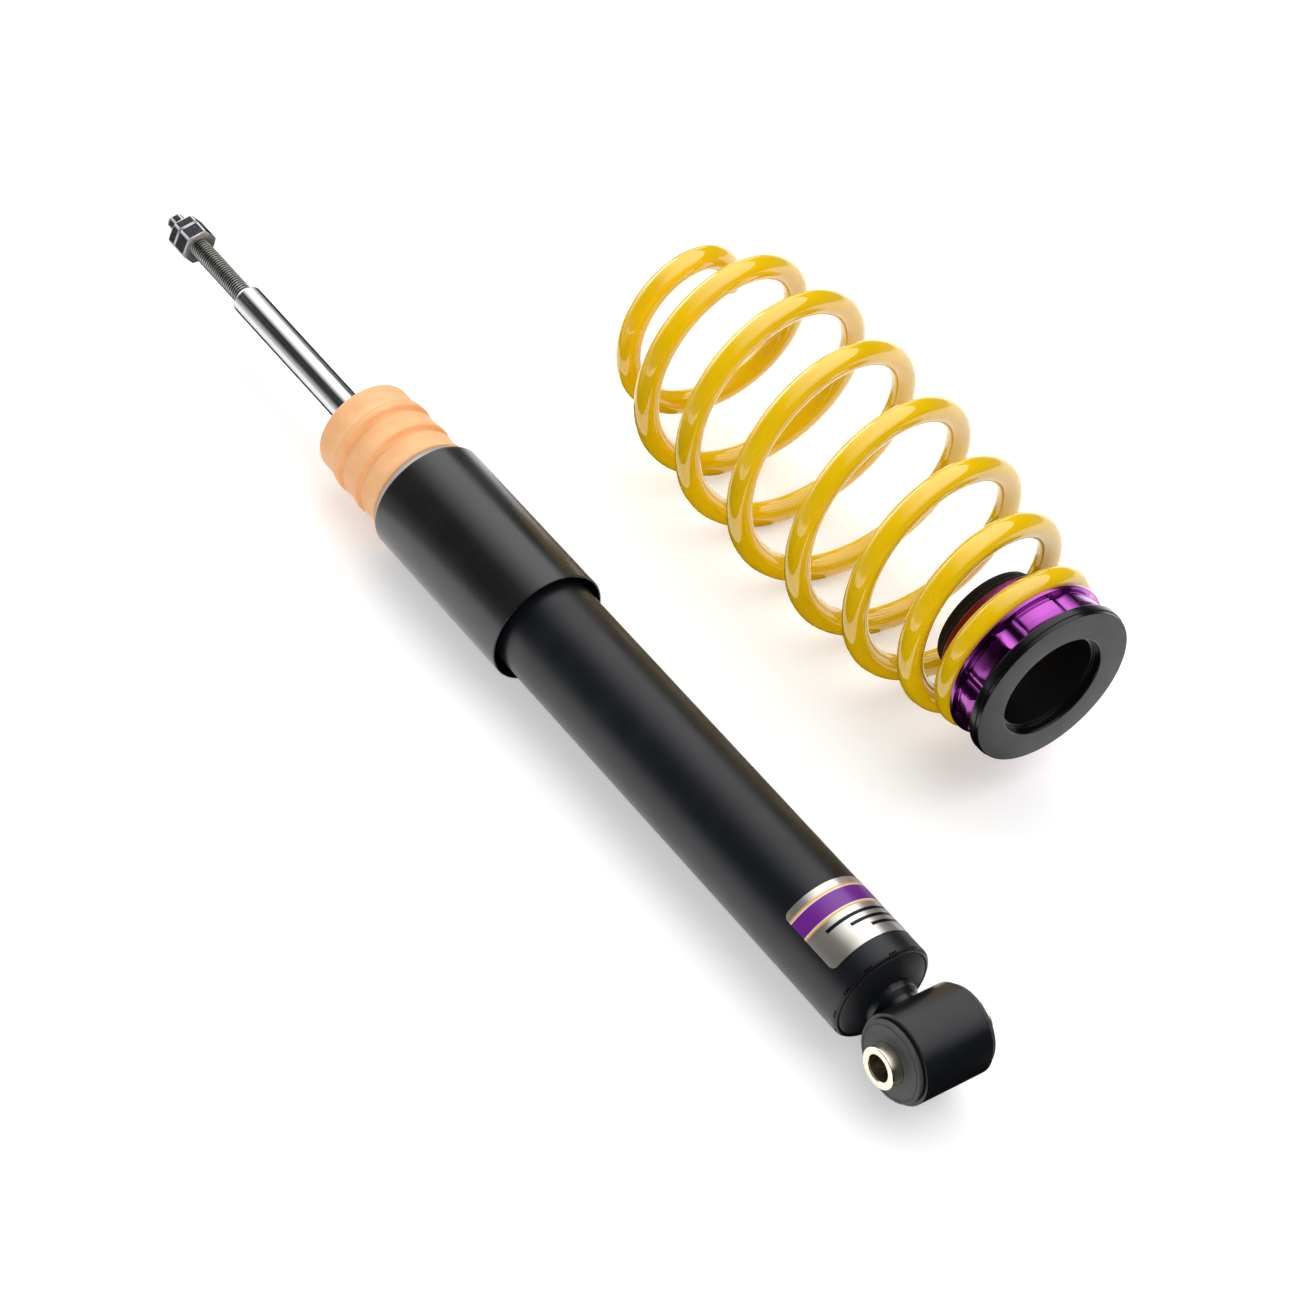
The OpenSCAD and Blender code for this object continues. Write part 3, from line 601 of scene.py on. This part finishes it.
class KIT_OT_eye(bpy.types.Operator):
    """Builds the lower eye with its neck, its rubber bush and its steel sleeve"""
    bl_idname = "kit.build_eye"
    bl_label = "Lower eye"

    def execute(self, context):
        colours = context.scene.kit_colours
        coat = powder_coat("eye_coat", colours.tube, 0.29, 0.36, 0.00005, Specular_IOR_Level=0.42)
        inner_r = EYE_R - 2.5
        barrel = turned("eye_barrel", outline(
            (inner_r, -EYE_HALF, 0.4), (EYE_R, -EYE_HALF, 0.6), (EYE_R, SUPPORT - EYE_HALF),
            (EYE_R, EYE_HALF - SUPPORT), (EYE_R, EYE_HALF, 0.6), (inner_r, EYE_HALF, 0.4)), sides=128)
        settle(barrel, ACROSS_EYE, "damper_tube", "eye_paint", coat, "eye_ring")
        settle(self.neck(), ALONG_DAMPER, "damper_tube", "eye_paint", coat, "eye_neck")

        rubber = finish("bush_rubber", (0.06, 0.06, 0.06), 0.6)
        drift(rubber, 0.25, 0.01, 0.55, 0.7)
        relief(rubber, 0.0006, 0.00001, 0.6, stretch=ROUND_Y)
        lip_from, face, groove = EYE_HALF + 0.6, BUSH_HALF - 2.3, 0.4
        side = [(inner_r, EYE_HALF - 0.3, 0.2), (inner_r - 0.6, EYE_HALF, 0.1), (inner_r - 0.6, lip_from, 0.2),
                (LIP_R, lip_from, 0.4), (LIP_R, face, 0.5), (LIP_R - 1.1, face, 0.1),
                (LIP_R - 1.4, face - groove, 0.1), (LIP_R - 1.9, face - groove, 0.1),
                (LIP_R - 2.2, face, 0.1), (SLEEVE_R + 1.2, face, 0.8), (SLEEVE_R + 0.1, face + 1.1, 0.1)]
        bush = turned("rubber_bush", outline(
            *side, *[(corner[0], -corner[1], *corner[2:]) for corner in reversed(side)]), sides=128)
        settle(bush, ACROSS_EYE, "damper_tube", "bush_rubber", rubber, "eye_bush")

        plated = turned_metal("sleeve_plating", (0.80, 0.74, 0.62), 0.24, ROUND_Y)
        sleeve = turned("steel_sleeve", outline(
            (BOLT_R, -SLEEVE_HALF, 0.8), (SLEEVE_R, -SLEEVE_HALF, 0.5), (SLEEVE_R, SUPPORT - SLEEVE_HALF),
            (SLEEVE_R, SLEEVE_HALF - SUPPORT), (SLEEVE_R, SLEEVE_HALF, 0.5), (BOLT_R, SLEEVE_HALF, 0.8)))
        settle(sleeve, ACROSS_EYE, "bush_sleeve", "sleeve_zinc", plated, "bush_sleeve")
        return {"FINISHED"}

    def neck(self):
        """A turned neck with a faceted collar, cut to sit on the barrel."""
        inside, neck_r, cone_from, collar_from = 8, 9.85, 20.2, 22.6
        facets, blank_r, blank_length = 20, NECK_R * 1.004, 80
        neck = turned("eye_neck", outline(
            (0, inside), (neck_r, inside), (neck_r, cone_from, 1.5), (NECK_R, collar_from, 0.6),
            (NECK_R, BASE_FACE, 0.2), (0, BASE_FACE)))
        carve(neck, cylinder(128, EYE_R, EYE_HALF * 4, rotation=(math.pi / 2, 0, 0)))
        carve(neck, cylinder(facets, blank_r, blank_length), "INTERSECT")
        return neck


def hexagon(flats, start, end, corner):
    """A hexagonal bar between two heights, in mm, with a corner in one direction from +Y towards +Z."""
    bar = cylinder(6, flats / math.sqrt(3), end - start, location=(0, 0, (start + end) / 2 * MM),
                   rotation=(0, 0, math.pi / 2 - corner))
    bpy.ops.object.transform_apply()
    return bar


class KIT_OT_rod(bpy.types.Operator):
    """Builds the piston rod with its threaded stud, its hexagon tip and its two nuts"""
    bl_idname = "kit.build_rod"
    bl_label = "Rod and nuts"

    def execute(self, context):
        sizes = context.scene.kit_sizes
        pitch = sizes.stud_pitch / MM
        tip_flats = sizes.tip_flats / MM
        tip_corner = tip_flats / math.sqrt(3)
        root_r, groove_r, chamfer = STUD_R - 0.85, ROD_R - 1, 1.0
        rod = turned("piston_rod", outline(
            (0, ROD_FROM), (STUD_R, ROD_FROM, 0.3), (STUD_R, PISTON_SEAT), (ROD_R, PISTON_SEAT, 0.3),
            (ROD_R, CLIP_FROM), (groove_r, CLIP_FROM), (groove_r, CLIP_TO), (ROD_R, CLIP_TO),
            (ROD_R, SHOULDER - chamfer - 0.4), (ROD_R, SHOULDER, chamfer), (root_r, SHOULDER, 0.2),
            (root_r, JAM_TO), (0, JAM_TO)))
        ridge = thread_ridge(root_r, STUD_R, pitch, SHOULDER + 0.1, int((JAM_TO - SHOULDER) / pitch) - 1)
        select_only(rod)
        ridge.select_set(True)
        bpy.ops.object.join()
        chrome = finish("rod_chrome", (0.74, 0.75, 0.76), 0.15, 1.0, Specular_Tint=(0.3, 0.3, 0.3, 1))
        feed(chrome, "Roughness", ramp(chrome, noise(chrome, 0.02), 0.13, 0.17))
        stud_steel = turned_metal("stud_steel", (0.33, 0.33, 0.33), 0.3, ROUND_X)
        # Painted shade: the thread is near black in its roots and light grey on its crests, by the distance
        # from the axis.
        crest = ramp(stud_steel, from_axis(stud_steel), 0, 1, (STUD_R - 0.6) * MM, (STUD_R - 0.05) * MM)
        feed(stud_steel, "Base Color", blend(stud_steel, crest, (0.03, 0.03, 0.03), (0.42, 0.42, 0.41)))
        settle(rod, ALONG_DAMPER, "piston_rod", "rod_chrome", chrome, "piston_rod")
        rod.data.materials.append(stud_steel)
        for face in rod.data.polygons:
            if -face.center.x / MM > SHOULDER + 0.3:
                face.material_index = 1

        tip_foot, nose_r = JAM_TO - 0.5, 1.6
        tip = hexagon(tip_flats, tip_foot, ROD_TO, sizes.nut_corner)
        carve(tip, turned("tip_blank", outline(
            (0, tip_foot), (tip_corner, tip_foot), (tip_corner, ROD_TO - 0.3, 2.4), (nose_r, ROD_TO, 0.8),
            (0, ROD_TO)), 48), "INTERSECT")
        soften_edges(tip, 0.2)
        # The tip and the nuts get painted dark reflections on their flats and painted highlights at their
        # corners and ends.
        painted_tip = self.painted_corner_steel("tip_steel", tip_flats / 2, tip_corner, (JAM_TO, ROD_TO - 1.4), 0.7)
        settle(tip, ALONG_DAMPER, "piston_rod", "rod_chrome", painted_tip)

        flats = sizes.nut_flats / MM
        for name, start, end in (("lower_nut", NUT_FROM, NUT_TO), ("upper_nut", JAM_FROM, JAM_TO)):
            steel = self.painted_corner_steel(name + "_steel", flats / 2, flats / math.sqrt(3), (start, end), 0.75)
            settle(self.nut(name, start, end, sizes), ALONG_DAMPER, "piston_rod", "nut_steel", steel, name)
        return {"FINISHED"}

    def painted_corner_steel(self, name, flat_r, corner_r, ends, width):
        """Painted reflections on a hexagon: dark speckled flats for painted dark reflections, and painted
        highlights of bright metal near its corners and its ends.
        """
        made = finish(name, (0.05, 0.05, 0.055), 0.4, 1.0, Specular_Tint=(0.5, 0.5, 0.5, 1))
        speckle = ramp(made, noise(made, 0.0007, detail=3.0), 0, 1)
        dark = blend(made, speckle, (0.020, 0.020, 0.023), (0.075, 0.075, 0.082))
        fade = 0.1
        half_flat = math.sqrt(corner_r ** 2 - flat_r ** 2)
        edge_r = math.hypot(flat_r, half_flat - width)
        # Painted highlights: bright metal near the corners here, and near both ends in the loop below.
        painted_highlight = ramp(made, from_axis(made), 0, 1, (edge_r - fade) * MM, (edge_r + fade) * MM)
        for end, inward in zip(ends, (1, -1)):
            line = -(end + inward * width) * MM
            reach = inward * fade * MM
            near = ramp(made, coordinate(made, "X"), 0, 1, line - reach, line + reach)
            painted_highlight = math_node(made, "MAXIMUM", painted_highlight, near)
        feed(made, "Base Color", blend(made, painted_highlight, dark, (0.68, 0.68, 0.70)))
        feed(made, "Roughness", ramp(made, painted_highlight, 0.4, 0.5, 0, 1))
        relief(made, 0.0005, 0.00001, 0.5, detail=3.0)
        return made

    def nut(self, name, start, end, sizes):
        """A hexagon nut, chamfered at both ends and bored for the stud."""
        flats = sizes.nut_flats / MM
        corner = flats / math.sqrt(3)
        fall, lead, face_r = 0.9, 0.4, flats / 2 * 0.97
        piece = hexagon(flats, start, end, sizes.nut_corner)
        soften_edges(piece, 0.35, 3)
        carve(piece, turned("nut_blank", outline(
            (STUD_R, start + lead), (STUD_R + lead, start), (face_r, start), (corner, start + fall),
            (corner, end - fall), (face_r, end), (STUD_R + lead, end), (STUD_R, end - lead))), "INTERSECT")
        piece.name = name
        return piece


class KIT_OT_bump_stop(bpy.types.Operator):
    """Builds the foam bump stop and the dust tube that snaps into its groove"""
    bl_idname = "kit.build_bump_stop"
    bl_label = "Bump stop and dust tube"

    def execute(self, context):
        colours = context.scene.kit_colours
        groove_r, ridge_r, waist_r, lip_r, top_r = 24.0, BUMP_R, 25.6, 26.0, 25.1
        bore_r, foot_r = ROD_R + 0.3, 22
        first, step, half_groove = BUMP_TO - 21.3, 15.5, 1.5
        corners = [(bore_r, BUMP_FROM, 0.4), (foot_r, BUMP_FROM, 0.8), (groove_r, BUMP_FROM + 2, 1)]
        for index in (3, 2, 1):
            start = first - index * step + half_groove
            end = first - (index - 1) * step - half_groove
            corners += [(groove_r, start, 0.5), (ridge_r, start + 0.9, 0.9), (ridge_r - 0.1, start + 3, 10),
                        (waist_r, (start + end) / 2 + 1.6, 12), (lip_r, end - 0.2, 0.8),
                        (groove_r, end + 0.3, 0.5)]
        corners += [(groove_r, first + half_groove, 0.5), (ridge_r - 0.2, first + 2.4, 0.8),
                    (ridge_r, first + 3.6, 1), (ridge_r - 0.2, first + 5.6), (ridge_r - 0.6, first + 5.9),
                    (ridge_r - 0.3, first + 6.2), (top_r, BUMP_TO - 11, 12), (top_r, BUMP_TO, 2.2),
                    (bore_r, BUMP_TO, 0.6)]
        stop = turned("bump_stop", outline(*corners), sides=144)
        settle(stop, ALONG_DAMPER, "bump_stop", "bump_foam", foam_finish(colours.foam), "bump_stop")

        shoulder = DUST_TO - 4.4
        plastic = finish("dust_plastic", colours.dust, 0.27, Specular_IOR_Level=0.6)
        drift(plastic, 0.1, 0.04, 0.24, 0.30)
        # Painted highlight: the rounded rim above the shoulder is painted pale grey.
        painted_rim_highlight = ramp(plastic, coordinate(plastic, "X"), 1, 0, -(shoulder + 0.5) * MM, -shoulder * MM)
        plain = shader_of(plastic).inputs["Base Color"].links[0].from_socket
        feed(plastic, "Base Color", blend(plastic, painted_rim_highlight, plain, (0.30, 0.31, 0.31)))
        relief(plastic, 0.002, 0.00001, 0.4)
        inner_r, rim_r, rim_from = DUST_R - 1, lip_r + 0.6, DUST_TO - 2.2
        tube = turned("dust_tube", outline(
            (inner_r, DUST_FROM, 0.3), (DUST_R, DUST_FROM, 0.45), (DUST_R, DUST_FROM + SUPPORT),
            (DUST_R, shoulder - 1.5), (DUST_R, shoulder, 1.2), (rim_r, DUST_TO, 0.4),
            (groove_r, DUST_TO, 0.3), (groove_r, rim_from), (rim_r, rim_from, 0.3),
            (inner_r, shoulder - 0.6, 2)), sides=144)
        settle(tube, ALONG_DAMPER, "bump_stop", "dust_plastic", plastic, "dust_tube")
        return {"FINISHED"}


SEAT_COIL_R, WIDEST_COIL_R, END_COIL_R = 38.2, 55.1, 28.7
SEAT_HEIGHT, SEAT_TURNS = 20.7, 0.4


class KIT_OT_spring(bpy.types.Operator):
    """Builds the barrel spring as one wire, wound close at its seat and drawn in at its upper end"""
    bl_idname = "kit.build_spring"
    bl_label = "Barrel spring"

    def execute(self, context):
        sizes = context.scene.kit_sizes
        wire_r = sizes.wire / 2 / MM
        turns = sizes.wire_turns
        start = math.pi / 2 - sizes.wire_start
        steps_per_turn, chamfer, chamfer_share = 72, 0.5, 0.93
        count = round(turns * steps_per_turn)
        ground = chamfer / (FULL_TURN * SEAT_COIL_R)
        stations = [0, ground] + [turns * step / count for step in range(1, count)] + [turns - ground, turns]
        curve = bpy.data.curves.new("spring_wire", "CURVE")
        curve.dimensions = "3D"
        curve.bevel_depth = wire_r * MM
        curve.bevel_resolution = 6
        curve.use_fill_caps = True
        path = curve.splines.new("POLY")
        path.points.add(len(stations) - 1)
        for point, turn in zip(path.points, stations):
            angle = start + FULL_TURN * turn
            radius = self.mean_radius(turn, turns)
            height = self.height(turn, turns, wire_r)
            place = Vector((radius * math.cos(angle), radius * math.sin(angle), height))
            point.co = (*(place * MM), 1)
            point.radius = chamfer_share if turn in (0, turns) else 1
        select_only(new_object("barrel_spring", curve))
        bpy.ops.object.convert(target="MESH")
        coat = powder_coat("spring_coat", context.scene.kit_colours.spring, 0.5, 0.6, 0.00001,
                           Specular_IOR_Level=0.0, Coat_Weight=1.0, Coat_Roughness=0.04, Coat_IOR=1.78)
        settle(bpy.context.object, UP_SET, "spring", "spring_coat", coat, "coil_spring")
        return {"FINISHED"}

    def height(self, turn, turns, wire_r):
        """Height of the wire's centre: flat on its seat, wide in the middle, closer at the end."""
        ease_low, ease_high = 6.2, 4.0
        pitch_low, pitch_mid, pitch_high = 26.0, 61.5, 25.6
        wound = max(0, turn - SEAT_TURNS)
        low = max(0, 1 - wound / ease_low)
        high = max(0, 1 - (turns - turn) / ease_high)
        return (SEAT_HEIGHT + wire_r + pitch_mid * wound
                - (pitch_mid - pitch_low) * ease_low / 2 * (1 - low * low)
                - (pitch_mid - pitch_high) * ease_high / 2 * high * high)

    def mean_radius(self, turn, turns):
        """Radius of the coil: narrow on its seat, widest in the middle, narrowest at the end."""
        widening, narrowing = 3.8, 2.25
        low = max(0, 1 - max(0, turn - SEAT_TURNS) / widening)
        high = max(0, 1 - (turns - turn) / narrowing)
        return (WIDEST_COIL_R - (WIDEST_COIL_R - SEAT_COIL_R) * low * low
                - (WIDEST_COIL_R - END_COIL_R) * high * high)


class KIT_OT_adjuster(bpy.types.Operator):
    """Builds the height adjuster: the notched ring, and the base with its threaded sleeve"""
    bl_idname = "kit.build_adjuster"
    bl_label = "Height adjuster"

    def execute(self, context):
        sizes = context.scene.kit_sizes
        colours = context.scene.kit_colours
        ring_metal = finish("ring_anodised", colours.anodised, 0.2, 1.0, Coat_Weight=0.8, Coat_Roughness=0.1)
        drift(ring_metal, 0.15, 0.02, 0.17, 0.24)
        relief(ring_metal, 0.0007, 0.000004, 0.4, stretch=ROUND_X)
        settle(self.ring(sizes.notches), UP_SET, "adjuster_ring", "ring_anodised", ring_metal,
               "adjuster_ring")

        black = finish("base_anodised", colours.base, 0.22, Specular_IOR_Level=0.4)
        drift(black, 0.2, 0.02, 0.2, 0.28)
        faced = finish("base_face", (0.05, 0.05, 0.05), 0.6)
        drift(faced, 0.06, 0.02, 0.56, 0.64)
        base = self.base(sizes.sleeve_pitch / MM)
        settle(base, UP_SET, "damper_tube", "base_anodised", black, "adjuster_base")
        base.data.materials.append(faced)
        matt = powder_coat("sleeve_black", colours.base, 0.5, 0.6, Specular_IOR_Level=0.12)
        base.data.materials.append(matt)
        outward = (UP_SET.to_3x3() @ Vector((0, 0, -1))).normalized()
        level, skin, flange = 0.98, 0.5, 6.0
        for face in base.data.polygons:
            height = -(face.center - UP_SET.translation).dot(outward) / MM
            if face.normal.dot(outward) > level and height < skin:
                face.material_index = 1
            elif height > flange:
                face.material_index = 2
        return {"FINISHED"}

    def ring(self, notches):
        """A turned ring with a rim and a collar, with hollows for the spanner round its band."""
        foot, band, cove, rim, collar, bore = 37.5, 40.0, 39.0, 42.2, 31.6, 30.1
        low, band_low, band_high, rim_low, rim_high, top = 7.3, 11.0, 16.0, 18.2, 20.4, 40.4
        ring = turned("adjuster_ring", outline(
            (bore, low, 0.4), (foot, low, 0.3), (band, band_low, 0.5), (band, band_high, 0.3),
            (cove, band_high + 0.2, 0.2), (cove, rim_low, 0.5), (rim, rim_low, 0.7), (rim, rim_high, 0.7),
            (collar, rim_high, 0.5), (collar, top, 0.5), (bore, top, 0.4)), sides=144)
        hollow_r, hollow_at, first = 7.2, 43.2, math.radians(90 - 35.6)
        start, end = low - 1, rim_low + 0.2
        centre = Vector((hollow_at * math.cos(first), hollow_at * math.sin(first), (start + end) / 2))
        hollow = cylinder(96, hollow_r, end - start, location=centre * MM)
        bpy.ops.object.transform_apply()
        round_array(hollow, notches)
        carve(ring, hollow)
        soften_edges(ring, 0.25)
        return ring

    def base(self, pitch):
        """A flange with a bored seat face, and a threaded sleeve with a tapered nose."""
        thread_r, thread_depth, rungs_per_pitch = 30.0, 0.9, 8
        step, counterbore, flange_top, sleeve_top, nose_top = 2.1, 4.2, 5.8, 41.0, 49
        counterbore_r, seat_r, flange_r = 27.0, 42.0, 42.6
        nose = (29, 43.7, 0.2), (28.1, 44.7, 0.3), (28, 45.7, 0.3), (27, nose_top, 0.6)
        rings = round((sleeve_top - flange_top) / pitch * rungs_per_pitch)
        base = turned("adjuster_base", outline(
            (SEAT_BORE_R, counterbore, 0.2), (counterbore_r, counterbore, 0.2), (counterbore_r, 0, 0.9),
            (seat_r, 0, 0.25), (seat_r, step, 0.1), (flange_r, step, 0.2), (flange_r, flange_top, 0.6),
            (thread_r, flange_top), *rungs(thread_r, flange_top, sleeve_top, rings), (thread_r, sleeve_top),
            *nose, (SEAT_BORE_R, nose_top, 0.5)), sides=144)
        cut_thread(base, thread_r, thread_depth, pitch, flange_top, sleeve_top)
        return base


class KIT_OT_inner(bpy.types.Operator):
    """Gives the pieces inside the tube their finishes"""
    bl_idname = "kit.finish_inner"
    bl_label = "Inner pieces"

    def execute(self, context):
        finishes = inner_finishes()
        finishes["tube_paint"] = bpy.data.materials["tube_coat"]
        for subpart in frame["record"]["subparts"]:
            made = finishes.get(subpart["material_slot"])
            piece = frame["nodes"].get(subpart["node"])
            if made and piece:
                for index in range(len(piece.material_slots)):
                    piece.material_slots[index].material = made
        return {"FINISHED"}


class KIT_OT_stage(bpy.types.Operator):
    """Sets the floor, the lights and the camera of a plain studio"""
    bl_idname = "kit.set_stage"
    bl_label = "Stage"

    def execute(self, context):
        floor = primitive(bpy.ops.mesh.primitive_plane_add, size=60, location=(0, 0, FLOOR - 0.0002))
        floor.name = "floor"
        floor.data.materials.append(self.floor_finish())
        self.fade(self.lamp("overhead", (0.15, 0.5, 1.6), (0, 0, -1), (5.7, 3.0), 109))
        self.lamp("end_panel", (-2.9, 0.4, 0.8), (1, 0, 0), (4.8, 1.7), 28)
        self.lamp("end_core", (-2.8, 0.15, 0.6), (1, 0, 0), (1.6, 1.2), 18)
        fill = self.lamp("front_fill", (1.1, -1.7, 1.3), (-0.7, 1, -0.75), (1.6, 1.6), 34)
        fill.visible_glossy = False
        for name, corners in (
                ("card_damper", ((-0.75, -0.016), (0.05, -0.016), (0.05, 0.05), (-0.75, 0.05))),
                ("card_front", ((-1.6, -2.5), (-1.2, -2.5), (-0.4, -0.016), (-1.6, -0.016))),
                ("card_behind", ((-3.0, 0.05), (-0.46, 0.05), (-1.2, 1.3), (-3.0, 3.0))),
                ("card_spring", ((-0.42, 0.09), (0.05, 0.09), (0.05, 0.16), (-0.42, 0.16))),
                ("card_beyond", ((0.05, -0.15), (2.4, -1.9), (2.4, 2.0), (0.05, 0.4)))):
            self.painted_reflection_card(name, corners, smoked=name == "card_front")
        self.set_world(context.scene)
        self.set_camera(context.scene)
        return {"FINISHED"}

    def fade(self, lamp):
        """Lets a lamp fall away softly towards its front and its lower end."""
        light = lamp.data
        light.use_nodes = True
        along, across = (coordinate(light, axis, "ShaderNodeNewGeometry", "Position") for axis in "XY")
        level = math_node(light, "MULTIPLY", ramp(light, along, 1, 0, 0.5, 3.0),
                          ramp(light, across, 0, 1, -0.8, 0.45))
        link(light, level, light.node_tree.nodes["Emission"].inputs["Strength"])

    # Painted reflections: a dark sheet on the floor that only glossy rays see, standing for shade under the
    # pieces and for dark surroundings.
    def painted_reflection_card(self, name, corners, smoked=False):
        card = primitive(bpy.ops.mesh.primitive_plane_add)
        card.name = name
        for index, corner in zip((0, 1, 3, 2), corners):
            card.data.vertices[index].co = (*corner, FLOOR - 0.0001)
        black = finish(name, (0.01, 0.01, 0.01), 0.9, Specular_IOR_Level=0.0)
        card.data.materials.append(black)
        if smoked:
            across = coordinate(black, "Y", "ShaderNodeNewGeometry", "Position")
            feed(black, "Alpha", ramp(black, across, 0.65, 0, -0.13, -0.02))
        for kind in ("camera", "diffuse", "transmission", "volume_scatter", "shadow"):
            setattr(card, "visible_" + kind, False)

    def floor_finish(self):
        made = finish("floor", (0.86, 0.86, 0.86), 0.9, Specular_IOR_Level=0.1)
        lift = add_node(made, "ShaderNodeEmission", {"Color": (1, 1, 1, 1)})
        rays = add_node(made, "ShaderNodeLightPath")
        far = add_node(made, "ShaderNodeVectorMath", operation="LENGTH")
        link(made, add_node(made, "ShaderNodeNewGeometry").outputs["Position"], far.inputs[0])
        seen = math_node(made, "MULTIPLY", rays.outputs["Is Camera Ray"],
                         ramp(made, far.outputs["Value"], 0.3, 1, 1.2, 2.4))
        for name in ("Is Glossy Ray", "Is Transmission Ray"):
            seen = math_node(made, "MAXIMUM", seen, ramp(made, rays.outputs[name], 0, 0.6, 0, 1))
        link(made, seen, lift.inputs["Strength"])
        joined = add_node(made, "ShaderNodeAddShader")
        link(made, shader_of(made).outputs[0], joined.inputs[0])
        link(made, lift.outputs[0], joined.inputs[1])
        link(made, joined.outputs[0], made.node_tree.nodes["Material Output"].inputs["Surface"])
        return made

    def lamp(self, name, place, facing, size, power):
        """A soft rectangular lamp that faces along one direction."""
        light = bpy.data.lights.new(name, "AREA")
        light.shape = "RECTANGLE"
        light.size, light.size_y = size
        light.energy = power
        lamp = new_object(name, light)
        lamp.location = place
        lamp.rotation_euler = Vector(facing).to_track_quat("-Z", "Y").to_euler()
        return lamp

    def set_world(self, scene):
        """A dark room, white to the camera, that brightens towards its horizon but for the eye's end."""
        world = bpy.data.worlds.new("studio")
        world.use_nodes = True
        background = world.node_tree.nodes["Background"]
        background.inputs["Color"].default_value = (1, 1, 1, 1)
        along, across, up = (coordinate(world, axis, output="Generated") for axis in "XYZ")
        glow = math_node(world, "MULTIPLY", ramp(world, up, 0.9, 0.04, -0.08, 0.31),
                         ramp(world, along, 1, 0.05, 0.25, 0.75))
        aside = ramp(world, math_node(world, "ABSOLUTE", across), 1, 0.45, 0.3, 0.7)
        seen = add_node(world, "ShaderNodeLightPath").outputs["Is Camera Ray"]
        strength = math_node(world, "MAXIMUM", math_node(world, "MULTIPLY", glow, aside), seen)
        link(world, strength, background.inputs["Strength"])
        scene.world = world

    def set_camera(self, scene):
        data = bpy.data.cameras.new("camera")
        data.sensor_width = 36
        data.lens = 103.8
        data.clip_end = 100
        camera = new_object("camera", data)
        place = Vector((0.62761, -0.82630, 1.15057))
        right = Vector((0.58340, 0.79740, 0.15427))
        up = Vector((-0.62518, 0.31965, 0.71202))
        back = Vector((0.51846, -0.51184, 0.68500))
        camera.matrix_world = Matrix.Translation(place) @ Matrix((right, up, back)).transposed().to_4x4()
        scene.camera = camera
        scene.view_settings.view_transform = "Standard"


class KIT_PT_panel(bpy.types.Panel):
    bl_label = "Damper kit"
    bl_idname = "KIT_PT_panel"
    bl_space_type = "VIEW_3D"
    bl_region_type = "UI"
    bl_category = "Damper kit"

    def draw(self, context):
        for group in (context.scene.kit_sizes, context.scene.kit_colours):
            box = self.layout.box()
            for key in group.__annotations__:
                box.prop(group, key)
        for operator in OPERATORS:
            self.layout.operator(operator.bl_idname)


OPERATORS = (KIT_OT_tube, KIT_OT_eye, KIT_OT_rod, KIT_OT_bump_stop, KIT_OT_spring, KIT_OT_adjuster,
             KIT_OT_inner, KIT_OT_stage)
CLASSES = (KitSizes, KitColours, *OPERATORS, KIT_PT_panel)


def register():
    for cls in CLASSES:
        bpy.utils.register_class(cls)
    bpy.types.Scene.kit_sizes = PointerProperty(type=KitSizes)
    bpy.types.Scene.kit_colours = PointerProperty(type=KitColours)


def unregister():
    del bpy.types.Scene.kit_colours
    del bpy.types.Scene.kit_sizes
    for cls in reversed(CLASSES):
        bpy.utils.unregister_class(cls)


def main():
    register()
    bpy.ops.kit.build_tube()
    bpy.ops.kit.build_eye()
    bpy.ops.kit.build_rod()
    bpy.ops.kit.build_bump_stop()
    bpy.ops.kit.build_spring()
    bpy.ops.kit.build_adjuster()
    bpy.ops.kit.finish_inner()
    bpy.ops.kit.set_stage()


if __name__ == "__main__":
    main()
